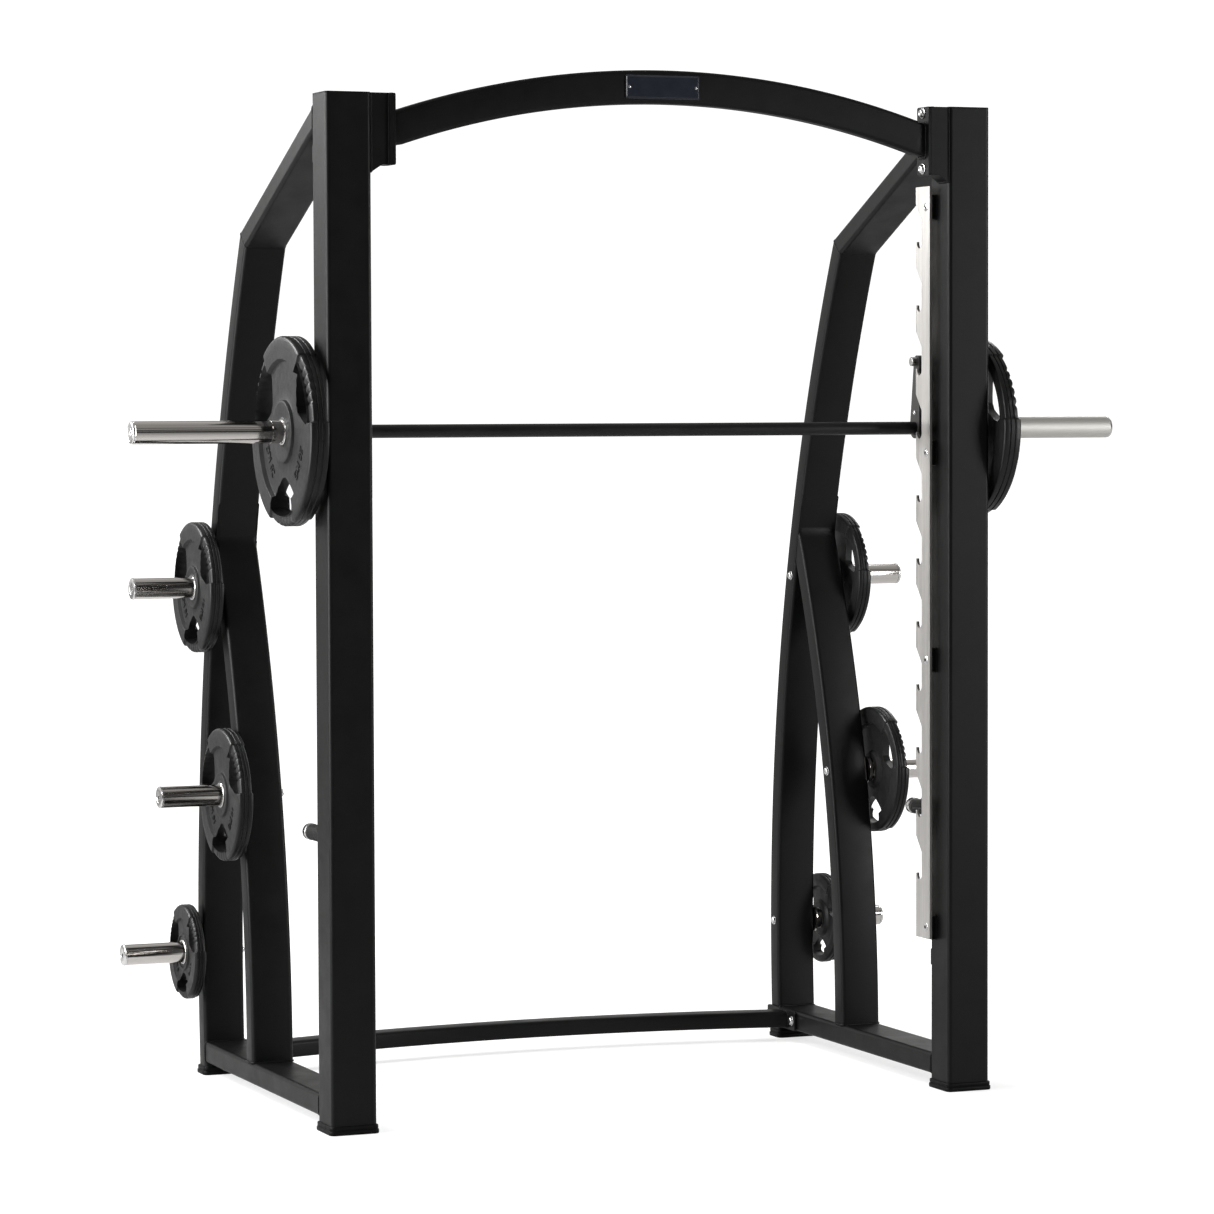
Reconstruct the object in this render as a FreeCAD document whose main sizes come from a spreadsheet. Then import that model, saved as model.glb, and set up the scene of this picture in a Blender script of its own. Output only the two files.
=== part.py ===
import FreeCAD, Part
import math
import os
from FreeCAD import Vector, Rotation, Placement

# Smith machine: two mirrored side frames joined by a bowed top arch and a bowed
# rear cross tube, a guided bar with hook levers, two safety catches, six storage
# pegs and eight weight plates.
# +X is to the right, +Y rearwards, +Z up. The origin is on the floor at the centre
# of the whole machine's box. All sizes are in millimetres.

doc = FreeCAD.newDocument("smith_machine")
sheet = doc.addObject("Spreadsheet::Sheet", "dims")

DIMS = [
    # name, value
    ("y_mid", 510.8),            # from the posts' nominal front plane to the box centre
    ("post_x", 748.3), ("post_w", 104.0), ("post_front", -1.0), ("post_d", 95.0),
    ("post_low", 20.0), ("post_top", 2255.0), ("cap_thick", 4.0),
    ("wall", 3.0), ("tube_r", 9.0),
    ("foot_over", 5.5), ("foot_thick", 20.0),
    ("tube_w", 100.0), ("tube_d", 50.0), ("base_low", 29.0),
    ("ru_cy", -3060.1), ("ru_cz", 283.6), ("ru_rad", 4026.1),
    ("leg_cy", 3682.7), ("leg_cz", 51.6), ("leg_rad", 3089.8),
    ("knee_y", 600.0), ("knee_z", 1961.0), ("brace_deg", 26.0),
    ("arch_rad", 1996.0), ("arch_cz", 290.5), ("arch_hgt", 75.0), ("arch_dep", 40.0),
    ("arch_y", 28.0), ("arch_end", 642.0), ("flange_thick", 6.5), ("flange_hgt", 155.0),
    ("flange_dep", 60.0), ("flange_low", 2103.0), ("flange_front", -6.0),
    ("bolt_up_z", 2244.0), ("bolt_dn_z", 2117.5),
    ("stub_low", 2087.0), ("stub_front", 1.0), ("stub_dep", 50.0),
    ("badge_x", -10.0), ("badge_w", 178.0), ("badge_hgt", 52.0), ("badge_thick", 3.0), ("badge_z", 2285.5),
    ("cross_rad", 2643.0), ("cross_cy", -1653.0), ("cross_w", 60.0), ("cross_hgt", 40.0),
    ("cross_z", 54.0), ("cross_end", 692.0), ("cflange_front", 832.0), ("cflange_len", 160.0), ("cflange_hgt", 48.0),
    ("rack_x", 677.6), ("rack_thick", 6.0), ("rack_front", 60.0), ("rack_rear", 130.6), ("rack_neck", 101.6),
    ("rack_low", 347.0), ("rack_top", 2081.0), ("pitch", 146.0), ("tip_first", 495.8),
    ("slot_y", 113.1), ("slot_r", 11.5), ("slot_drop", 3.7),
    ("lug_front", 63.0), ("lug_dep", 30.0), ("lug_hgt", 55.0),
    ("rod_y", 116.0), ("rod_r", 12.5), ("rod_low", 300.0), ("rod_top", 2128.0),
    ("holder_thick", 22.0),
    ("bar_y", 154.5), ("bar_z", 1526.8), ("bar_r", 15.0), ("bar_half", 1186.0),
    ("sleeve_r", 24.9), ("sleeve_in", 812.0), ("sleeve_out", 1190.0), ("scap_thick", 6.0),
    ("collar_r", 34.0), ("collar_in", 803.0),
    ("groove_x", 880.0), ("groove_w", 3.0), ("groove_r", 24.0),
    ("lever_len", 154.0), ("lever_x", 686.0), ("lever_thick", 12.0), ("pin_r", 10.5), ("pin_in", 670.6),
    ("lever_deg", 4.0),
    ("lin_r", 20.0), ("lin_len", 32.0), ("lin_off", 27.0), ("run_gap", 0.05),
    ("brg_r", 24.0), ("brg_len", 56.0),
    ("car_w", 56.0), ("car_hgt", 124.0), ("car_front", 98.0), ("car_rear", 184.0),
    ("catch_z", 636.0), ("hub_r", 20.0), ("hub_hgt", 84.0), ("bush_r", 16.0),
    ("catch_deg", 28.0), ("catch_pin_z", 654.0),
    ("arm_r", 14.0), ("cover_r", 18.0), ("arm_end", 286.0), ("cover_end", 274.0), ("endcap_r", 19.0),
    ("peg_r", 24.5), ("peg_end", 984.0), ("pegcap_thick", 7.0), ("pegfl_r", 34.0), ("pegfl_thick", 8.0),
    ("peg1_y", 862.6), ("peg1_z", 1159.4), ("peg2_y", 653.8), ("peg2_z", 690.4), ("peg3_y", 963.6), ("peg3_z", 292.1),
    ("bore_r", 25.2),
    ("big_r", 209.0), ("big_t", 44.0), ("big_in", 812.2), ("big_apex", 100.0), ("big_out", 184.0), ("big_dish", 0.42),
    ("mid_r", 153.5), ("mid_t", 35.0), ("mid_in", 812.0), ("mid_apex", 66.0), ("mid_out", 131.0), ("mid_dish", 0.38),
    ("sml_r", 112.5), ("sml_t", 28.0), ("sml_in", 818.0), ("sml_apex", 50.0), ("sml_out", 94.0), ("sml_dish", 0.20),
]
for n, (name, val) in enumerate(DIMS, start=1):
    sheet.set("A%d" % n, name)
    sheet.set("B%d" % n, repr(val))
    sheet.setAlias("B%d" % n, name)
doc.recompute()
D = dict(DIMS)

NODES = []          # (label, object)


def node(obj, label):
    obj.Label = label
    NODES.append((label, obj))
    return obj


def at(obj, x=None, y=None, z=None):
    # position bound to the sheet; y is given from the posts' front plane
    if x is not None:
        obj.setExpression("Placement.Base.x", x)
    if y is not None:
        obj.setExpression("Placement.Base.y", "(%s) - dims.y_mid" % y)
    if z is not None:
        obj.setExpression("Placement.Base.z", z)
    return obj


def box(name, dx, dy, dz, x, y, z):
    b = doc.addObject("Part::Box", name)
    b.setExpression("Length", dx)
    b.setExpression("Width", dy)
    b.setExpression("Height", dz)
    return at(b, x, y, z)


def cyl(name, r, h, x, y, z, axis="z"):
    c = doc.addObject("Part::Cylinder", name)
    c.setExpression("Radius", r)
    c.setExpression("Height", h)
    if axis == "x":
        c.Placement = Placement(Vector(0, 0, 0), Rotation(Vector(0, 1, 0), 90))
    elif axis == "-x":
        c.Placement = Placement(Vector(0, 0, 0), Rotation(Vector(0, 1, 0), -90))
    elif axis == "y":
        c.Placement = Placement(Vector(0, 0, 0), Rotation(Vector(1, 0, 0), -90))
    return at(c, x, y, z)


def cut(name, base, tool):
    o = doc.addObject("Part::Cut", name)
    o.Base = base
    o.Tool = tool
    return o


def common(name, a, b):
    o = doc.addObject("Part::Common", name)
    o.Base = a
    o.Tool = b
    return o


def fuse(name, parts):
    o = doc.addObject("Part::MultiFuse", name)
    o.Shapes = parts
    return o


def group(name, parts):
    o = doc.addObject("Part::Compound", name)
    o.Links = parts
    return o


def plane_of(body, role):
    for f in body.Origin.OriginFeatures:
        if f.Role == role:
            return f
    raise RuntimeError(role)


def sketch_on(body, role, name):
    s = body.newObject("Sketcher::SketchObject", name)
    s.AttachmentSupport = [(plane_of(body, role), "")]
    s.MapMode = "FlatFace"
    return s


def add_rrect(s, cx, cy, w, hh, r, tag, off_x=0.0, cx_expr=None, w_expr=None, h_expr=None, r_expr=None):
    # rounded rectangle with sizes named and bound; centre on (cx, cy)
    import Sketcher
    x0, x1, y0, y1 = cx - w / 2, cx + w / 2, cy - hh / 2, cy + hh / 2
    n = s.GeometryCount
    V = Vector
    s.addGeometry([
        Part.LineSegment(V(x0 + r, y0, 0), V(x1 - r, y0, 0)),
        Part.LineSegment(V(x1, y0 + r, 0), V(x1, y1 - r, 0)),
        Part.LineSegment(V(x1 - r, y1, 0), V(x0 + r, y1, 0)),
        Part.LineSegment(V(x0, y1 - r, 0), V(x0, y0 + r, 0)),
        Part.ArcOfCircle(Part.Circle(V(x1 - r, y0 + r, 0), V(0, 0, 1), r), -math.pi / 2, 0),
        Part.ArcOfCircle(Part.Circle(V(x1 - r, y1 - r, 0), V(0, 0, 1), r), 0, math.pi / 2),
        Part.ArcOfCircle(Part.Circle(V(x0 + r, y1 - r, 0), V(0, 0, 1), r), math.pi / 2, math.pi),
        Part.ArcOfCircle(Part.Circle(V(x0 + r, y0 + r, 0), V(0, 0, 1), r), math.pi, 1.5 * math.pi),
    ], False)
    b, rt, t, l, a1, a2, a3, a4 = range(n, n + 8)
    C = Sketcher.Constraint
    cons = [C("Horizontal", b), C("Horizontal", t), C("Vertical", rt), C("Vertical", l),
            C("Tangent", b, 2, a1, 1), C("Tangent", a1, 2, rt, 1),
            C("Tangent", rt, 2, a2, 1), C("Tangent", a2, 2, t, 1),
            C("Tangent", t, 2, a3, 1), C("Tangent", a3, 2, l, 1),
            C("Tangent", l, 2, a4, 1), C("Tangent", a4, 2, b, 1),
            C("Equal", a1, a2), C("Equal", a2, a3), C("Equal", a3, a4)]
    s.addConstraint(cons)
    for nm, con, ex in (("w", C("DistanceX", l, 2, rt, 1, w), w_expr),
                        ("g", C("DistanceY", b, 1, t, 2, hh), h_expr),
                        ("r", C("Radius", a1, r), r_expr)):
        i = s.addConstraint(con)
        s.renameConstraint(i, tag + nm)
        s.setExpression("Constraints." + tag + nm, ex)
    # place: left line and bottom line distances from the sketch origin
    i = s.addConstraint(C("DistanceX", -1, 1, rt, 1, x1))
    s.renameConstraint(i, tag + "px")
    s.setExpression("Constraints." + tag + "px", "(%s) + (%s) / 2" % (cx_expr or "0", w_expr))
    i = s.addConstraint(C("DistanceY", -1, 1, t, 2, y1))
    s.renameConstraint(i, tag + "py")
    s.setExpression("Constraints." + tag + "py", "(%s) / 2" % h_expr)


def tube_section(s, w, hh, w_expr, h_expr, cx=0.0, cx_expr=None):
    r, t = D["tube_r"], D["wall"]
    add_rrect(s, cx, 0, w, hh, r, "o", cx_expr=cx_expr, w_expr=w_expr, h_expr=h_expr, r_expr="dims.tube_r")
    add_rrect(s, cx, 0, w - 2 * t, hh - 2 * t, r - t, "i", cx_expr=cx_expr,
              w_expr="%s - 2 * dims.wall" % w_expr, h_expr="%s - 2 * dims.wall" % h_expr,
              r_expr="dims.tube_r - dims.wall")


def straight_tube(name, w, hh, w_expr, h_expr, length_expr):
    # hollow rounded tube along +Z from z = 0, section w along X, hh along Y
    body = doc.addObject("PartDesign::Body", name)
    s = sketch_on(body, "XY_Plane", name + "_section")
    tube_section(s, w, hh, w_expr, h_expr)
    p = body.newObject("PartDesign::Pad", name + "_pad")
    p.Profile = s
    p.setExpression("Length", length_expr)
    return body


def bent_tube(name, w, w_expr, depth, depth_expr, rad, rad_expr, deg, solid=False):
    # rounded tube swept round an arc: the section lies on the XZ plane of the body
    # (width along Z, depth along X) at the arc's radius, turned about the body's Z axis
    body = doc.addObject("PartDesign::Body", name)
    s = sketch_on(body, "XZ_Plane", name + "_section")
    tube_section(s, depth, w, depth_expr, w_expr, cx=rad, cx_expr=rad_expr)
    rev = body.newObject("PartDesign::Revolution", name + "_bend")
    rev.Profile = s
    rev.ReferenceAxis = (s, ["V_Axis"])
    rev.Angle = deg
    return body



# ------------------------------------------------------------------ placing
def arc_place(body, x, y, z, start_deg, plane):
    a = math.radians(start_deg)
    c, n = math.cos(a), math.sin(a)
    if plane == "YZ":
        m = FreeCAD.Matrix(0, 0, 1, 0, c, -n, 0, 0, n, c, 0, 0, 0, 0, 0, 1)
    elif plane == "XZ":
        m = FreeCAD.Matrix(c, -n, 0, 0, 0, 0, -1, 0, n, c, 0, 0, 0, 0, 0, 1)
    else:
        m = FreeCAD.Matrix(c, -n, 0, 0, n, c, 0, 0, 0, 0, 1, 0, 0, 0, 0, 1)
    body.Placement = Placement(m)
    return at(body, x, y, z)


def turned_box(name, sizes, origin, rot, offset):
    # box of the given sizes, placed by a corner offset in its own turned frame
    b = doc.addObject("Part::Box", name)
    b.Length, b.Width, b.Height = sizes
    o = Vector(origin[0], origin[1] - D["y_mid"], origin[2])
    b.Placement = Placement(o, rot).multiply(Placement(Vector(*offset), Rotation()))
    return b


def polygon_pad(name, pts, length_expr, role="YZ_Plane", midplane=False):
    body = doc.addObject("PartDesign::Body", name)
    s = sketch_on(body, role, name + "_outline")
    k = len(pts)
    s.addGeometry([Part.LineSegment(Vector(pts[i][0], pts[i][1], 0), Vector(pts[(i + 1) % k][0], pts[(i + 1) % k][1], 0))
                   for i in range(k)], False)
    p = body.newObject("PartDesign::Pad", name + "_pad")
    p.Profile = s
    p.setExpression("Length", length_expr)
    if midplane:
        p.SideType = "Symmetric"
    return body


def fillet_along(name, base, axis, r):
    doc.recompute()
    f = doc.addObject("Part::Fillet", name)
    f.Base = base
    es = []
    for i, e in enumerate(base.Shape.Edges):
        t = e.tangentAt(e.FirstParameter)
        if e.Curve.TypeId == "Part::GeomLine" and abs(abs(getattr(t, axis)) - 1) < 1e-6:
            es.append((i + 1, r, r))
    f.Edges = es
    return f


def button_bolt(name, x, y, z, sgn, washer=True, r=10.0, head=5.5, wr=12.0, wt=2.0, shank_r=5.0, shank=8.0):
    # domed button head on a washer, its shank going into the tube; sgn is the way the head points along X
    ax = "x" if sgn > 0 else "-x"
    parts = []
    if washer:
        parts.append(cyl(name + "_washer", "%g" % wr, "%g" % wt, x, y, z, ax))
    hx = "%s + %g" % (x, sgn * (wt if washer else 0.0))
    h = cyl(name + "_head", "%g" % r, "%g" % head, hx, y, z, ax)
    doc.recompute()
    f = doc.addObject("Part::Fillet", name + "_dome")
    f.Base = h
    far = max(range(len(h.Shape.Edges)), key=lambda i: sgn * h.Shape.Edges[i].CenterOfMass.x
              + (0 if h.Shape.Edges[i].Curve.TypeId == "Part::GeomCircle" else -1e6))
    f.Edges = [(far + 1, head * 0.7, head * 0.7)]
    return fuse(name, parts + [f]) if parts else f


# --------------------------------------------------------------- side frames
def side(tag, sg):
    sx = "%d * " % sg
    X = sg * D["post_x"]
    xc = sx + "dims.post_x"
    xt = xc + " - dims.tube_w / 2"

    # front post: closed rounded tube standing on its foot
    p = straight_tube(tag + "_post_body", D["post_w"], D["post_d"], "dims.post_w", "dims.post_d",
                      "dims.post_top - dims.post_low")
    at(p, xc, "dims.post_front + dims.post_d / 2", "dims.post_low")
    node(p, tag + "_post")

    # moulded foot under the post
    b = box(tag + "_pfoot_box", "dims.post_w + 2 * dims.foot_over", "dims.post_d + 2 * dims.foot_over",
            "dims.foot_thick", xc + " - dims.post_w / 2 - dims.foot_over",
            "dims.post_front - dims.foot_over", "0")
    node(fillet_along(tag + "_pfoot", b, "z", 13.0), tag + "_post_foot")

    # rear upright: tube bent to a long arc, from the rear foot up to the mitred knee
    a0 = math.degrees(math.asin((D["foot_thick"] - 30 - D["ru_cz"]) / D["ru_rad"]))
    a1 = math.degrees(math.asin((D["knee_z"] + 60 - D["ru_cz"]) / D["ru_rad"]))
    ru = bent_tube(tag + "_ru_body", D["tube_w"], "dims.tube_w", D["tube_d"], "dims.tube_d",
                   D["ru_rad"], "dims.ru_rad", a1 - a0)
    arc_place(ru, xc, "dims.ru_cy", "dims.ru_cz", a0, "YZ")
    floor = box(tag + "_ru_floor", "300", "300", "100", xc + " - 150", "850", "dims.foot_thick - 100")
    c1 = cut(tag + "_ru_cut", ru, floor)
    th = math.degrees(math.atan2(D["knee_z"] - D["ru_cz"], D["knee_y"] - D["ru_cy"]))
    down = 90.0 - th                      # angle below horizontal of the upright at the knee
    mit = (down + D["brace_deg"]) / 2.0   # direction of the mitre plane's normal
    rot = Rotation(Vector(1, 0, 0), -mit)
    above = turned_box(tag + "_ru_mitre", (300, 300, 600), (X, D["knee_y"], D["knee_z"]), rot, (-150, -300, -300))
    node(cut(tag + "_ru", c1, above), tag + "_rear_upright")

    # foot under the rear upright
    yr = D["ru_cy"] + math.sqrt(D["ru_rad"] ** 2 - (D["foot_thick"] - D["ru_cz"]) ** 2)
    b = box(tag + "_rfoot_box", "dims.tube_w + 2 * dims.foot_over", "dims.tube_d + 2 * dims.foot_over + 6",
            "dims.foot_thick", xt + " - dims.foot_over",
            "%g - dims.tube_d / 2 - dims.foot_over - 2" % yr, "0")
    node(fillet_along(tag + "_rfoot", b, "z", 11.0), tag + "_rear_foot")

    # top brace: straight tube from the post's rear face down to the knee
    br = doc.addObject("PartDesign::Body", tag + "_brace_body")
    s = sketch_on(br, "XZ_Plane", tag + "_brace_section")
    tube_section(s, D["tube_w"], D["tube_d"], "dims.tube_w", "dims.tube_d")
    pd = br.newObject("PartDesign::Pad", tag + "_brace_pad")
    pd.Profile = s
    pd.Length = 900.0
    pd.Reversed = True
    kk = Vector(X, D["knee_y"] - D["y_mid"], D["knee_z"])
    rb = Rotation(Vector(1, 0, 0), -D["brace_deg"])
    br.Placement = Placement(kk, rb).multiply(Placement(Vector(0, -700, 0), Rotation()))
    below = turned_box(tag + "_brace_mitre", (300, 400, 800), (X, D["knee_y"], D["knee_z"]), rot, (-150, 0, -400))
    front = box(tag + "_brace_front", "300", "400", "600", xc + " - 150",
                "dims.post_front + dims.post_d - 400", "1950")
    c2 = cut(tag + "_brace_c1", br, below)
    node(cut(tag + "_brace", c2, front), tag + "_top_brace")

    # base tube: along the floor from the post to the rear upright, its end coped to the arc
    bt = doc.addObject("PartDesign::Body", tag + "_base_body")
    s = sketch_on(bt, "XZ_Plane", tag + "_base_section")
    tube_section(s, D["tube_w"], D["tube_d"], "dims.tube_w", "dims.tube_d")
    pd = bt.newObject("PartDesign::Pad", tag + "_base_pad")
    pd.Profile = s
    pd.setExpression("Length", "900 - dims.post_front - dims.post_d")
    pd.Reversed = True
    at(bt, xc, "dims.post_front + dims.post_d", "dims.base_low + dims.tube_d / 2")
    cope = cyl(tag + "_base_cope", "dims.ru_rad - dims.tube_d / 2", "300", xc + " - 150", "dims.ru_cy", "dims.ru_cz", "x")
    doc.recompute()
    bt2 = doc.getObject(tag + "_base_pad")
    bt2.setExpression("Length", "960 - dims.post_front - dims.post_d")
    node(common(tag + "_base", bt, cope), tag + "_base_tube")

    # front leg: second bent tube, from the base tube up into the rear upright
    l0, l1 = 155.0, 180.6
    leg = bent_tube(tag + "_leg_body", D["tube_w"], "dims.tube_w", D["tube_d"], "dims.tube_d",
                    D["leg_rad"], "dims.leg_rad", l1 - l0)
    arc_place(leg, xc, "dims.leg_cy", "dims.leg_cz", l0, "YZ")
    cope2 = cyl(tag + "_leg_cope", "dims.ru_rad - dims.tube_d / 2", "300", xc + " - 150", "dims.ru_cy", "dims.ru_cz", "x")
    lc = common(tag + "_leg_c1", leg, cope2)
    seat = box(tag + "_leg_seat", "300", "300", "200", xc + " - 150", "450", "dims.base_low + dims.tube_d - 200")
    node(cut(tag + "_leg", lc, seat), tag + "_front_leg")

    # box bracket on the post's inner face that carries the arch's flange
    xi = D["post_x"] - D["post_w"] / 2
    xe = D["arch_end"] + D["flange_thick"]
    xs = xe + D["flange_thick"]
    top = D["post_top"] + D["cap_thick"] - 1.0
    pts = [(sg * xi, D["stub_low"]), (sg * (xs + 16), D["flange_low"] + 0.5), (sg * xs, D["flange_low"] + 0.5),
           (sg * xs, top), (sg * xi, top)]
    stub = polygon_pad(tag + "_stub", pts, "dims.stub_dep", "XZ_Plane")
    doc.getObject(tag + "_stub_pad").Reversed = True
    at(stub, "0", "dims.stub_front", "0")
    sf = fillet_along(tag + "_stub_f", stub, "z", 3.0)
    fl = box(tag + "_stub_flange", "dims.flange_thick", "dims.flange_dep", "dims.flange_hgt",
             "%g" % (xe if sg > 0 else -xs), "dims.flange_front", "dims.flange_low")
    node(fuse(tag + "_bracket", [sf, fl]), tag + "_arch_bracket")

    # rack plate: flat stainless bar with upward-open notches along its rear edge
    rp = doc.addObject("PartDesign::Body", tag + "_rack_body")
    s = sketch_on(rp, "YZ_Plane", tag + "_rack_outline")
    import Sketcher
    w, hh = D["rack_rear"] - D["rack_front"], D["rack_top"] - D["rack_low"]
    s.addGeometry([Part.LineSegment(Vector(0, 0, 0), Vector(w, 0, 0)), Part.LineSegment(Vector(w, 0, 0), Vector(w, hh, 0)),
                   Part.LineSegment(Vector(w, hh, 0), Vector(0, hh, 0)), Part.LineSegment(Vector(0, hh, 0), Vector(0, 0, 0))], False)
    C = Sketcher.Constraint
    s.addConstraint([C("Coincident", 0, 2, 1, 1), C("Coincident", 1, 2, 2, 1), C("Coincident", 2, 2, 3, 1),
                     C("Coincident", 3, 2, 0, 1), C("Horizontal", 0), C("Horizontal", 2), C("Vertical", 1),
                     C("Vertical", 3), C("Coincident", 0, 1, -1, 1)])
    for nm, con, ex in (("wide", C("DistanceX", 0, 1, 0, 2, w), "dims.rack_rear - dims.rack_front"),
                        ("tall", C("DistanceY", 1, 1, 1, 2, hh), "dims.rack_top - dims.rack_low")):
        i = s.addConstraint(con)
        s.renameConstraint(i, nm)
        s.setExpression("Constraints." + nm, ex)
    pad = rp.newObject("PartDesign::Pad", tag + "_rack_pad")
    pad.Profile = s
    pad.setExpression("Length", "dims.rack_thick")
    ns = sketch_on(rp, "YZ_Plane", tag + "_notch")
    yo, zo = -D["rack_front"], D["tip_first"] - D["rack_low"]
    ya, yb, yw = D["slot_y"] - D["slot_r"] + yo, D["slot_y"] + D["slot_r"] + yo, D["rack_rear"] + yo
    zb = zo - D["slot_drop"]
    V = Vector
    ns.addGeometry([
        Part.LineSegment(V(yw + 8, zo, 0), V(yb, zo, 0)),
        Part.LineSegment(V(yb, zo, 0), V(yb, zb, 0)),
        Part.ArcOfCircle(Part.Circle(V((ya + yb) / 2, zb, 0), V(0, 0, 1), D["slot_r"]), math.pi, 2 * math.pi),
        Part.LineSegment(V(ya, zb, 0), V(ya, zo + 50, 0)),
        Part.LineSegment(V(ya, zo + 50, 0), V(yw, zo + 87, 0)),
        Part.LineSegment(V(yw, zo + 87, 0), V(yw + 8, zo + 97, 0)),
        Part.LineSegment(V(yw + 8, zo + 97, 0), V(yw + 8, zo, 0))], False)
    pk = rp.newObject("PartDesign::Pocket", tag + "_notch_cut")
    pk.Profile = ns
    pk.Type = "ThroughAll"
    pk.Reversed = True
    lp = rp.newObject("PartDesign::LinearPattern", tag + "_notches")
    lp.Originals = [pk]
    lp.Direction = (ns, ["V_Axis"])
    lp.setExpression("Length", "10 * dims.pitch")
    lp.Occurrences = 11
    rp.Tip = lp
    xin = sx + "dims.rack_x" if sg > 0 else "-dims.rack_x - dims.rack_thick"
    at(rp, xin, "dims.rack_front", "dims.rack_low")
    node(rp, tag + "_rack_plate")

    # guide rod
    rod = cyl(tag + "_rod", "dims.rod_r", "dims.rod_top - dims.rod_low", xc, "dims.rod_y", "dims.rod_low")
    doc.recompute()
    ch = doc.addObject("Part::Chamfer", tag + "_rod_ch")
    ch.Base = rod
    ch.Edges = [(i + 1, 1.5, 1.5) for i, e in enumerate(rod.Shape.Edges) if e.Curve.TypeId == "Part::GeomCircle"]
    node(ch, tag + "_guide_rod")


side("left", -1)
side("right", 1)
doc.recompute()

# caps closing the tops of the posts
caps = []
for tag, sg in (("left", -1), ("right", 1)):
    b = box(tag + "_cap_box", "dims.post_w", "dims.post_d", "dims.cap_thick",
            "%d * dims.post_x - dims.post_w / 2" % sg, "dims.post_front", "dims.post_top")
    caps.append(fillet_along(tag + "_cap", b, "z", 9.0))
node(group("post_caps_g", caps), "post_caps")

# top arch: bowed tube with a flange plate welded on each end
ae = math.degrees(math.asin(D["arch_end"] / D["arch_rad"])) + 1.5
arch = bent_tube("arch_body", D["arch_dep"], "dims.arch_dep", D["arch_hgt"], "dims.arch_hgt",
                 D["arch_rad"], "dims.arch_rad", 2 * ae)
arc_place(arch, "0", "dims.arch_y", "dims.arch_cz", 90 - ae, "XZ")
trim = box("arch_trim", "2 * dims.arch_end", "200", "600", "-dims.arch_end", "-70", "1900")
ac = common("arch_c", arch, trim)
fls = [box("arch_fl_%d" % i, "dims.flange_thick", "dims.flange_dep", "dims.flange_hgt", x, "dims.flange_front", "dims.flange_low")
       for i, x in enumerate(("dims.arch_end", "-dims.arch_end - dims.flange_thick"))]
node(group("arch_f", [ac] + fls), "top_arch")

# blank badge plate on the arch's front face
bp = box("badge_b", "dims.badge_w", "dims.badge_thick", "dims.badge_hgt", "dims.badge_x - dims.badge_w / 2",
         "dims.arch_y - dims.arch_dep / 2 - dims.badge_thick", "dims.badge_z - dims.badge_hgt / 2")
node(fillet_along("badge_f", bp, "y", 2.0), "badge_plate")

# flange bolts: two at each end of the arch
bl = []
for sg in (-1, 1):
    for k, zz in enumerate(("dims.bolt_up_z", "dims.bolt_dn_z")):
        bl.append(button_bolt("ab_%d_%d" % (sg + 1, k), "%d * dims.arch_end" % sg, "dims.flange_front + dims.flange_dep / 2", zz, -sg))
node(group("arch_bolts_g", bl), "arch_bolts")

# rear cross tube, bowed rearwards, with its end flanges on the base tubes' inner faces
ce = math.degrees(math.asin(D["cross_end"] / D["cross_rad"])) + 1.0
cr = bent_tube("cross_body", D["cross_hgt"], "dims.cross_hgt", D["cross_w"], "dims.cross_w",
               D["cross_rad"], "dims.cross_rad", 2 * ce)
arc_place(cr, "0", "dims.cross_cy", "dims.cross_z", 90 - ce, "XY")
ct = box("cross_trim", "2 * dims.cross_end", "500", "200", "-dims.cross_end", "700", "-50")
cc = common("cross_c", cr, ct)
cf = [box("cross_fl_%d" % i, "dims.post_x - dims.tube_w / 2 - dims.cross_end", "dims.cflange_len", "dims.cflange_hgt",
          x, "dims.cflange_front", "dims.cross_z - dims.cflange_hgt / 2")
      for i, x in enumerate(("dims.cross_end", "-dims.post_x + dims.tube_w / 2"))]
node(group("cross_f", [cc] + cf), "rear_cross_tube")
bl = []
for sg in (-1, 1):
    for k, yy in enumerate(("dims.cflange_front + 15", "dims.cflange_front + dims.cflange_len - 15")):
        bl.append(button_bolt("cb_%d_%d" % (sg + 1, k), "%d * dims.cross_end" % sg, yy, "dims.cross_z", -sg))
node(group("cross_bolts_g", bl), "cross_tube_bolts")

# stand-off lugs between posts and rack plates, and the screws through them
LUG_Z = (2033.5, 1469.8, 993.1, 374.0)
lugs, scr = [], []
for sg in (-1, 1):
    xo = D["post_x"] - D["post_w"] / 2
    xa = D["rack_x"] + D["rack_thick"]
    for k, z in enumerate(LUG_Z):
        lugs.append(box("lug_%d_%d" % (sg + 1, k), "%g" % (xo - xa), "dims.lug_dep", "dims.lug_hgt",
                        "%g" % (xa if sg > 0 else -xo), "dims.lug_front", "%g - dims.lug_hgt / 2" % z))
        scr.append(button_bolt("rs_%d_%d" % (sg + 1, k), "%d * dims.rack_x" % sg, "dims.lug_front + 16", "%g" % z, -sg,
                               washer=False, r=9.0, head=3.0))
node(group("lugs_g", lugs), "rack_lugs")
node(group("screws_g", scr), "rack_screws")

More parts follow.
